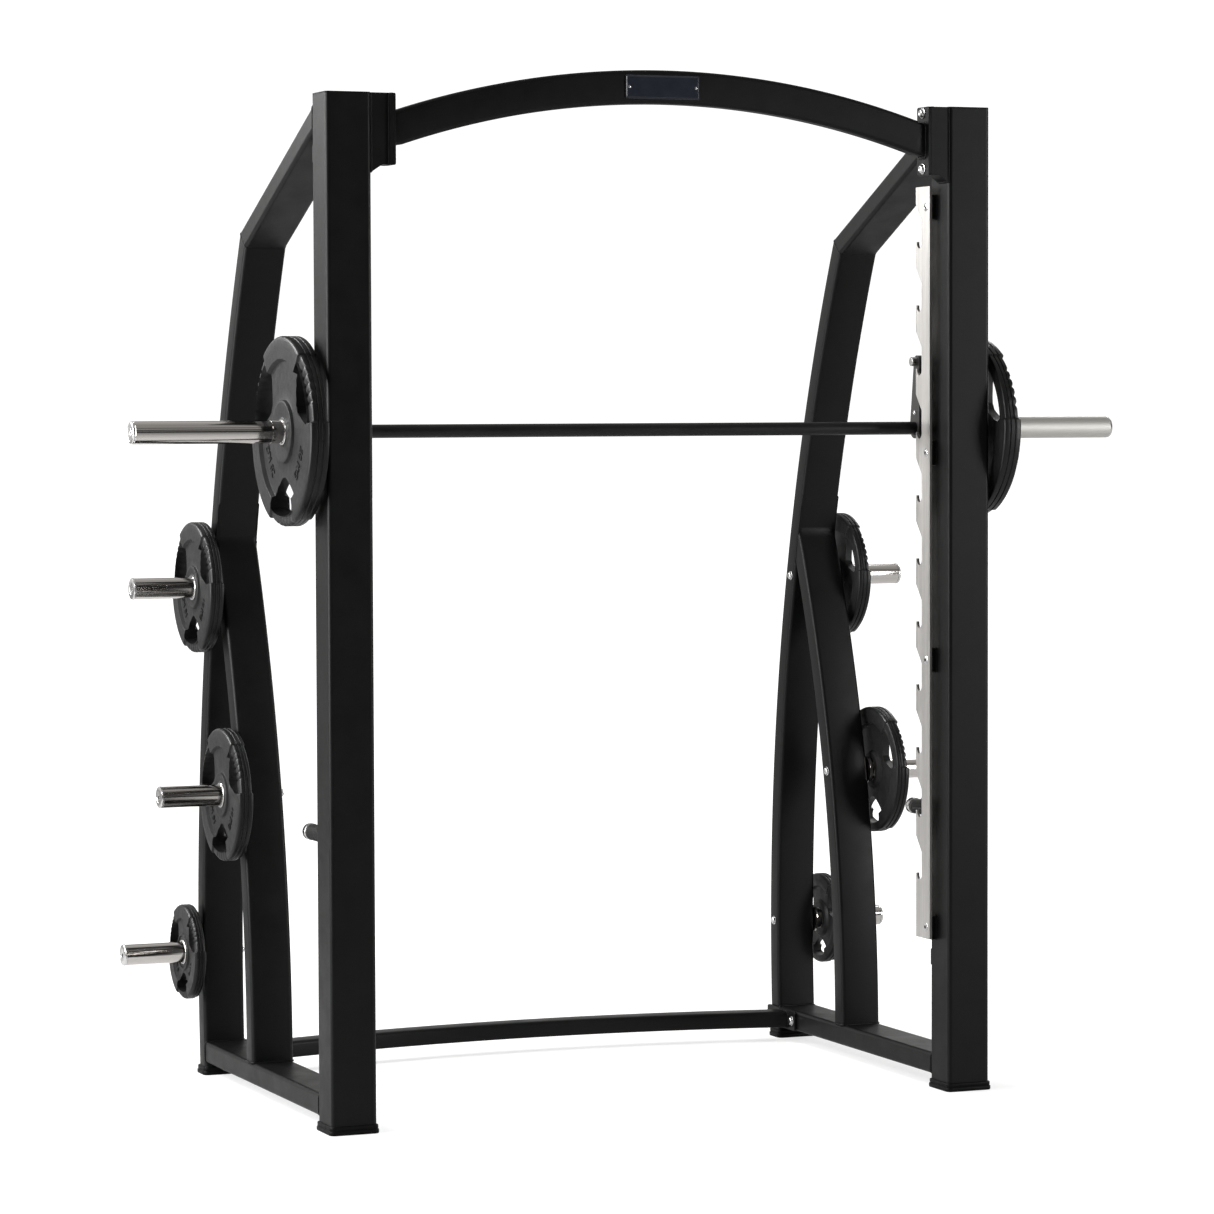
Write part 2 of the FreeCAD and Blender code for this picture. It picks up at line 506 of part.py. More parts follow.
# holders for the guide rods on the posts' rear faces
for label, zlow, base, wide in (("rod_top_holders", "dims.rod_top", 0, 72), ("rod_bottom_holders", "dims.rod_low - dims.holder_thick", 1, 56)):
    hs = []
    for sg in (-1, 1):
        hb = box("%s_b%d" % (label, sg + 1), "%d" % wide, "52", "dims.holder_thick + 14", "%d * dims.post_x - %g" % (sg, wide / 2),
                 "dims.post_front + dims.post_d", zlow if base else "dims.rod_top - 14")
        hole = cyl("%s_h%d" % (label, sg + 1), "dims.rod_r", "14", "%d * dims.post_x" % sg, "dims.rod_y",
                   "dims.rod_low" if base else "dims.rod_top - 14")
        hs.append(cut("%s_c%d" % (label, sg + 1), fillet_along("%s_f%d" % (label, sg + 1), hb, "z", 8.0), hole))
    node(group(label + "_g", hs), label)

# rubber bump stops on the rods
bs = []
for sg in (-1, 1):
    for k, z in enumerate(("dims.rod_low + 14", "dims.rod_top - 14 - 30")):
        o = cyl("bump_%d_%d" % (sg + 1, k), "19", "30", "%d * dims.post_x" % sg, "dims.rod_y", z)
        i = cyl("bumph_%d_%d" % (sg + 1, k), "dims.rod_r", "30", "%d * dims.post_x" % sg, "dims.rod_y", z)
        bs.append(cut("bumpc_%d_%d" % (sg + 1, k), o, i))
node(group("bump_g", bs), "rod_bumpers")

# storage pegs with their base discs, end caps and fixing bolts
PEGS = (("peg1_y", "peg1_z", "mid"), ("peg2_y", "peg2_z", "mid"), ("peg3_y", "peg3_z", "sml"))
pcaps, pbolts = [], []
for tag, sg in (("left", -1), ("right", 1)):
    ax = "x" if sg > 0 else "-x"
    ps = []
    xo = "%d * (dims.post_x + dims.tube_w / 2)" % sg
    for k, (py, pz, _) in enumerate(PEGS):
        t = cyl("peg_%s_%d" % (tag, k), "dims.peg_r", "dims.peg_end - dims.post_x - dims.tube_w / 2", xo, "dims." + py, "dims." + pz, ax)
        f = cyl("pegf_%s_%d" % (tag, k), "dims.pegfl_r", "dims.pegfl_thick", xo, "dims." + py, "dims." + pz, ax)
        ps.append(fuse("pegu_%s_%d" % (tag, k), [t, f]))
        c = cyl("pegc_%s_%d" % (tag, k), "dims.peg_r + 0.6", "dims.pegcap_thick", "%d * dims.peg_end" % sg, "dims." + py, "dims." + pz, ax)
        doc.recompute()
        fc = doc.addObject("Part::Fillet", "pegcf_%s_%d" % (tag, k))
        fc.Base = c
        far = [i for i, e in enumerate(c.Shape.Edges) if e.Curve.TypeId == "Part::GeomCircle"
               and sg * e.CenterOfMass.x > D["peg_end"] + 1]
        fc.Edges = [(i + 1, 4.0, 4.0) for i in far]
        pcaps.append(fc)
        pbolts.append(button_bolt("pb_%s_%d" % (tag, k), "%d * (dims.post_x - dims.tube_w / 2)" % sg, "dims." + py, "dims." + pz, -sg,
                                  r=9.0, head=5.0, wr=10.5, wt=1.5))
    node(group("pegs_" + tag, ps), tag + "_storage_pegs")
node(group("pegcaps_g", pcaps), "peg_end_caps")
node(group("pegbolts_g", pbolts), "peg_bolts")

# ---------------------------------------------------------------- carriage
lins, brgs = [], []
for tag, sg in (("left", -1), ("right", 1)):
    xc = "%d * dims.post_x" % sg
    hb = box(tag + "_car_box", "dims.car_w", "dims.car_rear - dims.car_front", "dims.car_hgt",
             xc + " - dims.car_w / 2", "dims.car_front", "dims.bar_z - dims.car_hgt / 2")
    hf = fillet_along(tag + "_car_f", hb, "z", 10.0)
    hr = cyl(tag + "_car_rod", "dims.lin_r", "dims.car_hgt", xc, "dims.rod_y", "dims.bar_z - dims.car_hgt / 2")
    hbar = cyl(tag + "_car_bar", "dims.brg_r", "dims.car_w", xc + " - dims.car_w / 2", "dims.bar_y", "dims.bar_z", "x")
    node(cut(tag + "_car_c2", cut(tag + "_car_c1", hf, hr), hbar), tag + "_carriage")
    for k, z in enumerate(("dims.bar_z + dims.lin_off", "dims.bar_z - dims.lin_off - dims.lin_len")):
        o = cyl("lin_%s_%d" % (tag, k), "dims.lin_r", "dims.lin_len", xc, "dims.rod_y", z)
        i = cyl("lini_%s_%d" % (tag, k), "dims.rod_r + dims.run_gap", "dims.lin_len", xc, "dims.rod_y", z)
        lins.append(cut("linc_%s_%d" % (tag, k), o, i))
    o = cyl("brg_" + tag, "dims.brg_r", "dims.brg_len", xc + " - dims.brg_len / 2", "dims.bar_y", "dims.bar_z", "x")
    i = cyl("brgi_" + tag, "dims.bar_r + dims.run_gap", "dims.brg_len", xc + " - dims.brg_len / 2", "dims.bar_y", "dims.bar_z", "x")
    brgs.append(cut("brgc_" + tag, o, i))
node(group("lins_g", lins), "linear_bearings")
node(group("brgs_g", brgs), "bar_bearings")

# --------------------------------------------------------------------- bar
node(cyl("shaft", "dims.bar_r", "2 * dims.bar_half", "-dims.bar_half", "dims.bar_y", "dims.bar_z", "x"), "bar_shaft")
scaps = []
for tag, sg in (("left", -1), ("right", 1)):
    ax = "x" if sg > 0 else "-x"
    sl = cyl(tag + "_sl", "dims.sleeve_r", "dims.sleeve_out - dims.collar_in", "%d * dims.collar_in" % sg, "dims.bar_y", "dims.bar_z", ax)
    co = cyl(tag + "_co", "dims.collar_r", "8", "%d * dims.collar_in" % sg, "dims.bar_y", "dims.bar_z", ax)
    sf = fuse(tag + "_slf", [sl, co])
    go = cyl(tag + "_go", "dims.sleeve_r + 5", "dims.groove_w", "%d * dims.groove_x" % sg, "dims.bar_y", "dims.bar_z", ax)
    gi = cyl(tag + "_gi", "dims.groove_r", "dims.groove_w", "%d * dims.groove_x" % sg, "dims.bar_y", "dims.bar_z", ax)
    gr = cut(tag + "_gr", go, gi)
    bore = cyl(tag + "_slb", "dims.bar_r", "dims.sleeve_out - dims.collar_in", "%d * dims.collar_in" % sg, "dims.bar_y", "dims.bar_z", ax)
    node(cut(tag + "_sl2", cut(tag + "_sl1", sf, gr), bore), tag + "_sleeve")
    c = cyl(tag + "_scap", "dims.sleeve_r - 0.5", "dims.scap_thick", "%d * dims.sleeve_out" % sg, "dims.bar_y", "dims.bar_z", ax)
    doc.recompute()
    fc = doc.addObject("Part::Fillet", tag + "_scapf")
    fc.Base = c
    fc.Edges = [(i + 1, 3.0, 3.0) for i, e in enumerate(c.Shape.Edges) if e.Curve.TypeId == "Part::GeomCircle"
                and sg * e.CenterOfMass.x > D["sleeve_out"] + 1]
    scaps.append(fc)
node(group("scaps_g", scaps), "sleeve_end_caps")

# hook levers: tapered plates clamped on the bar, each with a pin that drops into the rack notches
LR = math.radians(D["lever_deg"])
py = D["bar_y"] - D["lever_len"] * math.sin(LR)
pz = D["bar_z"] + D["lever_len"] * math.cos(LR)
pins = []
for tag, sg in (("left", -1), ("right", 1)):
    lx = D["lever_x"] if sg > 0 else -D["lever_x"] - D["lever_thick"]
    L, r1, r2 = D["lever_len"], 24.0, 14.5
    al = math.asin((r1 - r2) / L)
    pts = [(-r1 * math.cos(al), r1 * math.sin(al)), (-r2 * math.cos(al), L + r2 * math.sin(al)),
           (r2 * math.cos(al), L + r2 * math.sin(al)), (r1 * math.cos(al), r1 * math.sin(al))]
    web = polygon_pad(tag + "_lev", pts, "dims.lever_thick", "YZ_Plane")
    web.Placement = Placement(Vector(lx, D["bar_y"] - D["y_mid"], D["bar_z"]), Rotation(Vector(1, 0, 0), D["lever_deg"]))
    hubc = cyl(tag + "_levh", "24", "dims.lever_thick", "%g" % lx, "dims.bar_y", "dims.bar_z", "x")
    eye = cyl(tag + "_leve", "14.5", "dims.lever_thick", "%g" % lx, "%r" % py, "%r" % pz, "x")
    lv = fuse(tag + "_levf", [web, hubc, eye])
    lb = cyl(tag + "_levb", "dims.bar_r", "dims.lever_thick + 2", "%g - 1" % lx, "dims.bar_y", "dims.bar_z", "x")
    node(cut(tag + "_lever", lv, lb), tag + "_hook_lever")
    pc = cyl(tag + "_hpin", "dims.pin_r", "dims.lever_x - dims.pin_in", "%g" % (D["pin_in"] if sg > 0 else -D["lever_x"]),
             "%r" % py, "%r" % pz, "x")
    doc.recompute()
    fp = doc.addObject("Part::Fillet", tag + "_hpinf")
    fp.Base = pc
    fp.Edges = [(i + 1, 2.0, 2.0) for i, e in enumerate(pc.Shape.Edges) if e.Curve.TypeId == "Part::GeomCircle"
                and sg * e.CenterOfMass.x < D["pin_in"] + 1]
    pins.append(fp)
node(group("pins_g", pins), "hook_pins")

# ---------------------------------------------------------- safety catches
for tag, sg in (("left", -1), ("right", 1)):
    xc = "%d * dims.post_x" % sg
    X = sg * D["post_x"]
    z0 = D["catch_z"] - D["hub_hgt"] / 2 + 12.0
    bo = cyl(tag + "_cbo", "dims.bush_r", "dims.hub_hgt + 6", xc, "dims.rod_y", "%g - 3" % z0)
    bi = cyl(tag + "_cbi", "dims.rod_r + dims.run_gap", "dims.hub_hgt + 6", xc, "dims.rod_y", "%g - 3" % z0)
    bc = cut(tag + "_cbush", bo, bi)
    node(bc, tag + "_catch_bush")
    hub = cyl(tag + "_hub", "dims.hub_r", "dims.hub_hgt", xc, "dims.rod_y", "%g" % z0)
    hubb = cyl(tag + "_hubb", "dims.bush_r + dims.run_gap", "dims.hub_hgt", xc, "dims.rod_y", "%g" % z0)
    arm = cyl(tag + "_arm", "dims.arm_r", "dims.arm_end - dims.rod_y", xc, "dims.rod_y", "dims.catch_z", "y")
    # hook arm, drawn in its locked direction and turned back to the unlocked rest
    rodp = Vector(X, D["rod_y"] - D["y_mid"], 0)
    back = Rotation(Vector(0, 0, 1), -sg * D["catch_deg"])

    def turned(obj):
        obj.Placement = Placement(rodp, back).multiply(Placement(rodp * -1, Rotation())).multiply(obj.Placement)
        return obj
    zp = D["catch_pin_z"]
    ym = D["y_mid"]
    xa, xb = 690.0, 742.0
    beam = doc.addObject("Part::Box", tag + "_beam")
    beam.Length, beam.Width, beam.Height = xb - xa, 20.0, 26.0
    beam.Placement = Placement(Vector(xa if sg > 0 else -xb, 103.0 - ym, zp - 13.0), Rotation())
    turned(beam)
    pin = doc.addObject("Part::Cylinder", tag + "_cpin")
    pin.setExpression("Radius", "dims.pin_r")
    pin.Height = xa + 4 - D["pin_in"]
    pin.Placement = Placement(Vector(D["pin_in"] if sg > 0 else -xa - 4, D["slot_y"] - ym, zp), Rotation(Vector(0, 1, 0), 90))
    turned(pin)
    blk = fuse(tag + "_catchf", [hub, arm, beam, pin])
    node(cut(tag + "_catch", blk, hubb), tag + "_safety_catch")
    # rubber cover and end cap of the arm
    co = cyl(tag + "_cov", "dims.cover_r", "dims.cover_end - dims.rod_y - 30", xc, "dims.rod_y + 30", "dims.catch_z", "y")
    cb = cyl(tag + "_covb", "dims.arm_r", "dims.cover_end - dims.rod_y - 30", xc, "dims.rod_y + 30", "dims.catch_z", "y")
    node(cut(tag + "_cover", co, cb), tag + "_catch_cover")


# ----------------------------------------------------------- weight plates
def weight(label, pre, sg, y_expr, z_expr):
    # disc with a rim, a recessed web, a hub with the bore, and three grip openings.
    # local frame: Z is the plate's axis from its inner (z = 0) to its outer face
    R, T, ap, out = D[pre + "_r"], D[pre + "_t"], D[pre + "_apex"], D[pre + "_out"]
    b = D["bore_r"]
    k = R / 209.0
    body = doc.addObject("PartDesign::Body", label + "_body")
    s = sketch_on(body, "XZ_Plane", label + "_profile")
    hub_r = 25.2 + 16.0
    inner, outer = T * D[pre + "_dish"], T * 0.84
    pts = [(b, 3.0), (hub_r, 3.0), (hub_r + 4, inner), (out + 1, inner), (out + 4, 1.0), (R - 5, 0.0), (R - 1, 2.5),
           (R, 5.0), (R, T - 6.0), (R - 1.5, T - 2.5), (R - 6, T), (out + 5, T), (out - 6 * k, outer), (hub_r + 6, outer),
           (hub_r, T - 2.0), (b, T - 2.0)]
    n = len(pts)
    s.addGeometry([Part.LineSegment(Vector(pts[i][0], pts[i][1], 0), Vector(pts[(i + 1) % n][0], pts[(i + 1) % n][1], 0))
                   for i in range(n)], False)
    rev = body.newObject("PartDesign::Revolution", label + "_rev")
    rev.Profile = s
    rev.ReferenceAxis = (s, ["V_Axis"])
    rev.Angle = 360.0
    doc.recompute()
    vol0 = body.Shape.Volume
    g = sketch_on(body, "XY_Plane", label + "_grip")
    ca = math.radians(22.6)
    c0 = 0.12 * ap
    pa = (-c0, -ap)
    pb = (-out * math.sin(ca), -out * math.cos(ca))
    pc = (out * math.sin(ca), -out * math.cos(ca))
    pd = (c0, -ap)
    g.addGeometry([Part.LineSegment(Vector(*pa, 0), Vector(*pb, 0)),
                   Part.Arc(Vector(*pb, 0), Vector(0, -out, 0), Vector(*pc, 0)),
                   Part.LineSegment(Vector(*pc, 0), Vector(*pd, 0)),
                   Part.LineSegment(Vector(*pd, 0), Vector(*pa, 0))], False)
    pk = body.newObject("PartDesign::Pocket", label + "_opening")
    pk.Profile = g
    pk.Type = "ThroughAll"
    pk.Reversed = True
    pp = body.newObject("PartDesign::PolarPattern", label + "_openings")
    pp.Originals = [pk]
    pp.Axis = (g, ["N_Axis"])
    pp.Angle = 360.0
    pp.Occurrences = 3
    body.Tip = pp
    # local Z along the outward X; local Y stays up
    if sg > 0:
        m = FreeCAD.Matrix(0, 0, 1, 0, 1, 0, 0, 0, 0, 1, 0, 0, 0, 0, 0, 1)
    else:
        m = FreeCAD.Matrix(0, 0, -1, 0, -1, 0, 0, 0, 0, 1, 0, 0, 0, 0, 0, 1)
    body.Placement = Placement(m)
    at(body, "%d * dims.%s_in" % (sg, pre), y_expr, z_expr)
    doc.recompute()
    assert body.Shape.Volume < vol0 - 1000, label
    node(body, label)


for tag, sg in (("left", -1), ("right", 1)):
    weight(tag + "_bar_plate", "big", sg, "dims.bar_y", "dims.bar_z")
    for i, (py_, pz_, pre) in enumerate(PEGS, start=1):
        weight("%s_stored_plate_%d" % (tag, i), pre, sg, "dims." + py_, "dims." + pz_)

doc.recompute()

bad = []
for o in doc.Objects:
    if "Invalid" in o.State or "Error" in o.State:
        bad.append((o.Name, o.State))
for label, o in NODES:
    if o.Shape.isNull() or not o.Shape.isValid() or not o.Shape.Solids:
        bad.append((label, "shape"))
if bad:
    raise SystemExit("failed: %s" % bad)
assert len({l for l, _ in NODES}) == len(NODES) <= 60

os.makedirs("parts", exist_ok=True)
total = FreeCAD.BoundBox()
for label, o in NODES:
    total.add(o.Shape.BoundBox)
    o.Shape.exportStep("parts/%s.step" % label)
print(len(NODES), "nodes; box", [round(v, 2) for v in (total.XMin, total.YMin, total.ZMin, total.XMax, total.YMax, total.ZMax)])
for label, o in NODES:
    bb = o.Shape.BoundBox
    print("%-24s solids %2d vol %9.1f cm3  x %8.1f..%8.1f y %8.1f..%8.1f z %8.1f..%8.1f" % (
        label, len(o.Shape.Solids), o.Shape.Volume / 1000, bb.XMin, bb.XMax, bb.YMin + D["y_mid"], bb.YMax + D["y_mid"], bb.ZMin, bb.ZMax))
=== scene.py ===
import bpy
import math
import numpy as np
from mathutils import Matrix, Vector


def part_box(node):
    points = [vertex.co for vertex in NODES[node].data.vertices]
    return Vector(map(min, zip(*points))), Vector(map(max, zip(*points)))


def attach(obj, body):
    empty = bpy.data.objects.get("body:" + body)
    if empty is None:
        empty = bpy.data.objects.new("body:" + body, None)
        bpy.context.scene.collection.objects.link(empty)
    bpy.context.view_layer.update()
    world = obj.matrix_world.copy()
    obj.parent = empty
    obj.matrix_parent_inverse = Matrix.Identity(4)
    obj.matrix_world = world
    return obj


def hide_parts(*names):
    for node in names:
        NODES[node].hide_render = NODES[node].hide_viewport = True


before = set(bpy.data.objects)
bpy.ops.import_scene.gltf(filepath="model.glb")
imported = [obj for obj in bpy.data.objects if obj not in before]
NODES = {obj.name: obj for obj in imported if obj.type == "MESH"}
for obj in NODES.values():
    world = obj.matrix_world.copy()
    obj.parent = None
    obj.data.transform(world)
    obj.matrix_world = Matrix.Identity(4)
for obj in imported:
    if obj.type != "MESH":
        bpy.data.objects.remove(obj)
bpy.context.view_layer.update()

MM = 0.001
YM = 510.8          # the CAD frame's Y zero, behind the posts' front plane (mm)


# ------------------------------------------------------------------ materials
class Mat:
    """Small helper around one node material with a Principled shader."""

    def __init__(self, name, **sockets):
        self.m = bpy.data.materials.new(name)
        self.m.use_nodes = True
        self.t = self.m.node_tree
        self.b = self.t.nodes["Principled BSDF"]
        for k, v in sockets.items():
            k = k.replace("_", " ")
            self.b.inputs[k].default_value = v
        self.co = self.t.nodes.new("ShaderNodeTexCoord").outputs["Object"]

    def n(self, kind, **kw):
        node = self.t.nodes.new(kind)
        for k, v in kw.items():
            if k in node.inputs.keys() if hasattr(node.inputs, "keys") else False:
                node.inputs[k].default_value = v
            else:
                setattr(node, k, v)
        return node

    def link(self, a, b):
        self.t.links.new(a, b)

    def mapped(self, scale=(1, 1, 1), rot=(0, 0, 0)):
        mp = self.t.nodes.new("ShaderNodeMapping")
        mp.inputs["Scale"].default_value = scale
        mp.inputs["Rotation"].default_value = rot
        self.link(self.co, mp.inputs["Vector"])
        return mp.outputs["Vector"]

    def noise(self, scale, detail=4.0, rough=0.55, vec=None, dist=0.0):
        nz = self.t.nodes.new("ShaderNodeTexNoise")
        nz.inputs["Scale"].default_value = scale
        nz.inputs["Detail"].default_value = detail
        nz.inputs["Roughness"].default_value = rough
        nz.inputs["Distortion"].default_value = dist
        self.link(vec if vec is not None else self.co, nz.inputs["Vector"])
        return nz.outputs["Fac"]

    def ramp(self, fac, stops):
        r = self.t.nodes.new("ShaderNodeValToRGB")
        while len(r.color_ramp.elements) < len(stops):
            r.color_ramp.elements.new(0.5)
        for e, (p, c) in zip(r.color_ramp.elements, stops):
            e.position = p
            e.color = (c[0], c[1], c[2], 1.0) if isinstance(c, tuple) else (c, c, c, 1.0)
        self.link(fac, r.inputs["Fac"])
        return r.outputs["Color"]

    def rng(self, fac, lo, hi, a=0.0, b=1.0):
        mr = self.t.nodes.new("ShaderNodeMapRange")
        mr.inputs["From Min"].default_value = a
        mr.inputs["From Max"].default_value = b
        mr.inputs["To Min"].default_value = lo
        mr.inputs["To Max"].default_value = hi
        self.link(fac, mr.inputs["Value"])
        return mr.outputs["Result"]

    def bump(self, height, strength, dist, chain=None):
        bp = self.t.nodes.new("ShaderNodeBump")
        bp.inputs["Strength"].default_value = strength
        bp.inputs["Distance"].default_value = dist
        self.link(height, bp.inputs["Height"])
        if chain is not None:
            self.link(chain, bp.inputs["Normal"])
        return bp.outputs["Normal"]

    def base(self, sock):
        self.link(sock, self.b.inputs["Base Color"])

    def rough(self, sock):
        self.link(sock, self.b.inputs["Roughness"])

    def normal(self, sock):
        self.link(sock, self.b.inputs["Normal"])


def paint_material(name, lo, hi, rough, peel=1.0, spec=0.35):
    m = Mat(name, Metallic=0.0, Specular_IOR_Level=spec)
    tone = m.noise(9.0, 3.0, 0.5)
    m.base(m.ramp(tone, [(0.3, lo), (0.7, hi)]))
    fine = m.noise(900.0, 2.0, 0.5)
    coarse = m.noise(260.0, 3.0, 0.6)
    patches = m.noise(14.0, 4.0, 0.6)
    m.rough(m.rng(patches, rough - 0.05, rough + 0.06, 0.3, 0.7))
    nb = m.bump(coarse, 0.10 * peel, 0.0006)
    m.normal(m.bump(fine, 0.10 * peel, 0.0003, nb))
    return m.m


def metal_material(name, lo, hi, r0, r1, streak=(1, 1, 1), scale=120.0, bump=0.05, aniso=0.0, spots=0.0):
    m = Mat(name, Metallic=1.0, Anisotropic=aniso)
    v = m.mapped(streak)
    s1 = m.noise(scale, 6.0, 0.7, v)
    s2 = m.noise(scale * 0.13, 3.0, 0.5, v)
    mix = m.t.nodes.new("ShaderNodeMath")
    mix.operation = "MULTIPLY_ADD"
    mix.inputs[1].default_value = 0.55
    m.link(s1, mix.inputs[0])
    half = m.t.nodes.new("ShaderNodeMath")
    half.operation = "MULTIPLY"
    half.inputs[1].default_value = 0.45
    m.link(s2, half.inputs[0])
    m.link(half.outputs[0], mix.inputs[2])
    m.base(m.ramp(mix.outputs[0], [(0.32, lo), (0.68, hi)]))
    m.rough(m.rng(mix.outputs[0], r0, r1, 0.35, 0.65))
    m.normal(m.bump(mix.outputs[0], bump, 0.0004))
    return m.m


def rubber_material(name, lo, hi, rough, grain=1.0, spec=0.4):
    m = Mat(name, Metallic=0.0, Specular_IOR_Level=spec)
    cloud = m.noise(22.0, 6.0, 0.65, dist=0.4)
    m.base(m.ramp(cloud, [(0.32, lo), (0.68, hi)]))
    m.rough(m.rng(m.noise(60.0, 5.0, 0.6), rough - 0.09, rough + 0.10, 0.3, 0.7))
    cell = m.t.nodes.new("ShaderNodeTexVoronoi")
    cell.inputs["Scale"].default_value = 700.0
    m.link(m.co, cell.inputs["Vector"])
    nb = m.bump(m.noise(180.0, 5.0, 0.65), 0.22 * grain, 0.0008)
    m.normal(m.bump(cell.outputs["Distance"], 0.10 * grain, 0.0003, nb))
    return m.m


PAINT = paint_material("frame_black", (0.0020, 0.0020, 0.0021), (0.0031, 0.0031, 0.0032), 0.42, spec=0.19)
PAINT_BAR = paint_material("bar_black", (0.0045, 0.0045, 0.005), (0.007, 0.007, 0.0075), 0.36, 0.7, spec=0.30)
LEVER = paint_material("lever_dark", (0.022, 0.021, 0.021), (0.035, 0.034, 0.033), 0.36, 0.6, spec=0.4)
PLASTIC = rubber_material("moulded_black", (0.002, 0.002, 0.0021), (0.0035, 0.0035, 0.0036), 0.50, 0.5, spec=0.12)
RUBBER = rubber_material("grip_rubber", (0.006, 0.006, 0.006), (0.010, 0.010, 0.010), 0.6, 0.8, spec=0.3)
PLATE = rubber_material("plate_rubber", (0.009, 0.009, 0.0093), (0.017, 0.017, 0.0174), 0.46, 1.3, spec=0.22)
# a darker, glossier copy of the plate rubber, laid on the rim and the walls of the openings: painted shade
PLATE_SHADE_RUBBER = rubber_material("plate_rubber_painted_shade", (0.004, 0.004, 0.0042), (0.008, 0.008, 0.0083), 0.36, 0.8, spec=0.28)
INK = rubber_material("plate_figures", (0.003, 0.003, 0.003), (0.006, 0.006, 0.006), 0.6, 0.5, spec=0.2)
RACK = metal_material("rack_stainless", (0.52, 0.507, 0.49), (0.70, 0.68, 0.655), 0.30, 0.46, (26, 26, 0.7), 34.0, 0.06, 0.4)
CHROME = metal_material("chrome_plating", (0.60, 0.575, 0.55), (0.70, 0.675, 0.65), 0.07, 0.12, (0.03, 9, 9), 60.0, 0.010, 0.0)
SATIN = metal_material("satin_plating", (0.58, 0.57, 0.54), (0.66, 0.65, 0.62), 0.54, 0.64, (0.05, 9, 9), 60.0, 0.02, 0.0)
CHROME_END = metal_material("chrome_turned_end", (0.66, 0.655, 0.65), (0.78, 0.775, 0.77), 0.14, 0.28, (3, 3, 3), 90.0, 0.03)
BOLT = metal_material("zinc_bolts", (0.66, 0.66, 0.66), (0.82, 0.82, 0.82), 0.12, 0.26, (1, 1, 1), 300.0, 0.04)
PIN = metal_material("ground_steel", (0.42, 0.415, 0.41), (0.58, 0.57, 0.56), 0.24, 0.40, (1, 14, 14), 40.0, 0.05)
# near-black lining for the hex sockets of the screws and the holes of the end caps: painted shade inside these
# recesses
RECESS_SHADE = Mat("painted_recess_shade", Metallic=0.0, Specular_IOR_Level=0.1)
RECESS_SHADE.base(RECESS_SHADE.ramp(RECESS_SHADE.noise(300.0), [(0.3, 0.004), (0.7, 0.009)]))
RECESS_SHADE.rough(RECESS_SHADE.rng(RECESS_SHADE.noise(90.0), 0.6, 0.8))
RECESS_SHADE = RECESS_SHADE.m
_b = Mat("badge_enamel", Metallic=0.0, Specular_IOR_Level=0.5, Coat_Weight=0.35, Coat_Roughness=0.08)
_b.base(_b.ramp(_b.noise(40.0), [(0.3, (0.014, 0.017, 0.027)), (0.7, (0.020, 0.024, 0.036))]))
_b.rough(_b.rng(_b.noise(120.0), 0.16, 0.26))
_b.normal(_b.bump(_b.noise(500.0), 0.03, 0.0002))
BADGE = _b.m


# --------------------------------------------------------------- mesh helpers
def make(name, verts, faces, mats, idx=None, body="frame", angle=35.0, bevel=None, smooth=True):
    """verts in millimetres in the CAD frame; makes one object that rides on a body."""
    me = bpy.data.meshes.new(name)
    v = np.asarray(verts, float) * MM
    me.from_pydata([tuple(p) for p in v], [], [tuple(int(i) for i in f) for f in faces])
    me.validate(verbose=False)
    for m in mats:
        me.materials.append(m)
    if idx is not None and len(me.polygons) == len(idx):
        me.polygons.foreach_set("material_index", np.asarray(idx, np.int32))
    me.polygons.foreach_set("use_smooth", [smooth] * len(me.polygons))
    me.update()
    if smooth:
        me.set_sharp_from_angle(angle=math.radians(angle))
    o = bpy.data.objects.new(name, me)
    bpy.context.scene.collection.objects.link(o)
    if bevel:
        md = o.modifiers.new("edge", "BEVEL")
        md.width = bevel * MM
        md.segments = 2
        md.limit_method = "ANGLE"
        md.angle_limit = math.radians(34)
        md.harden_normals = True
    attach(o, body)
    return o


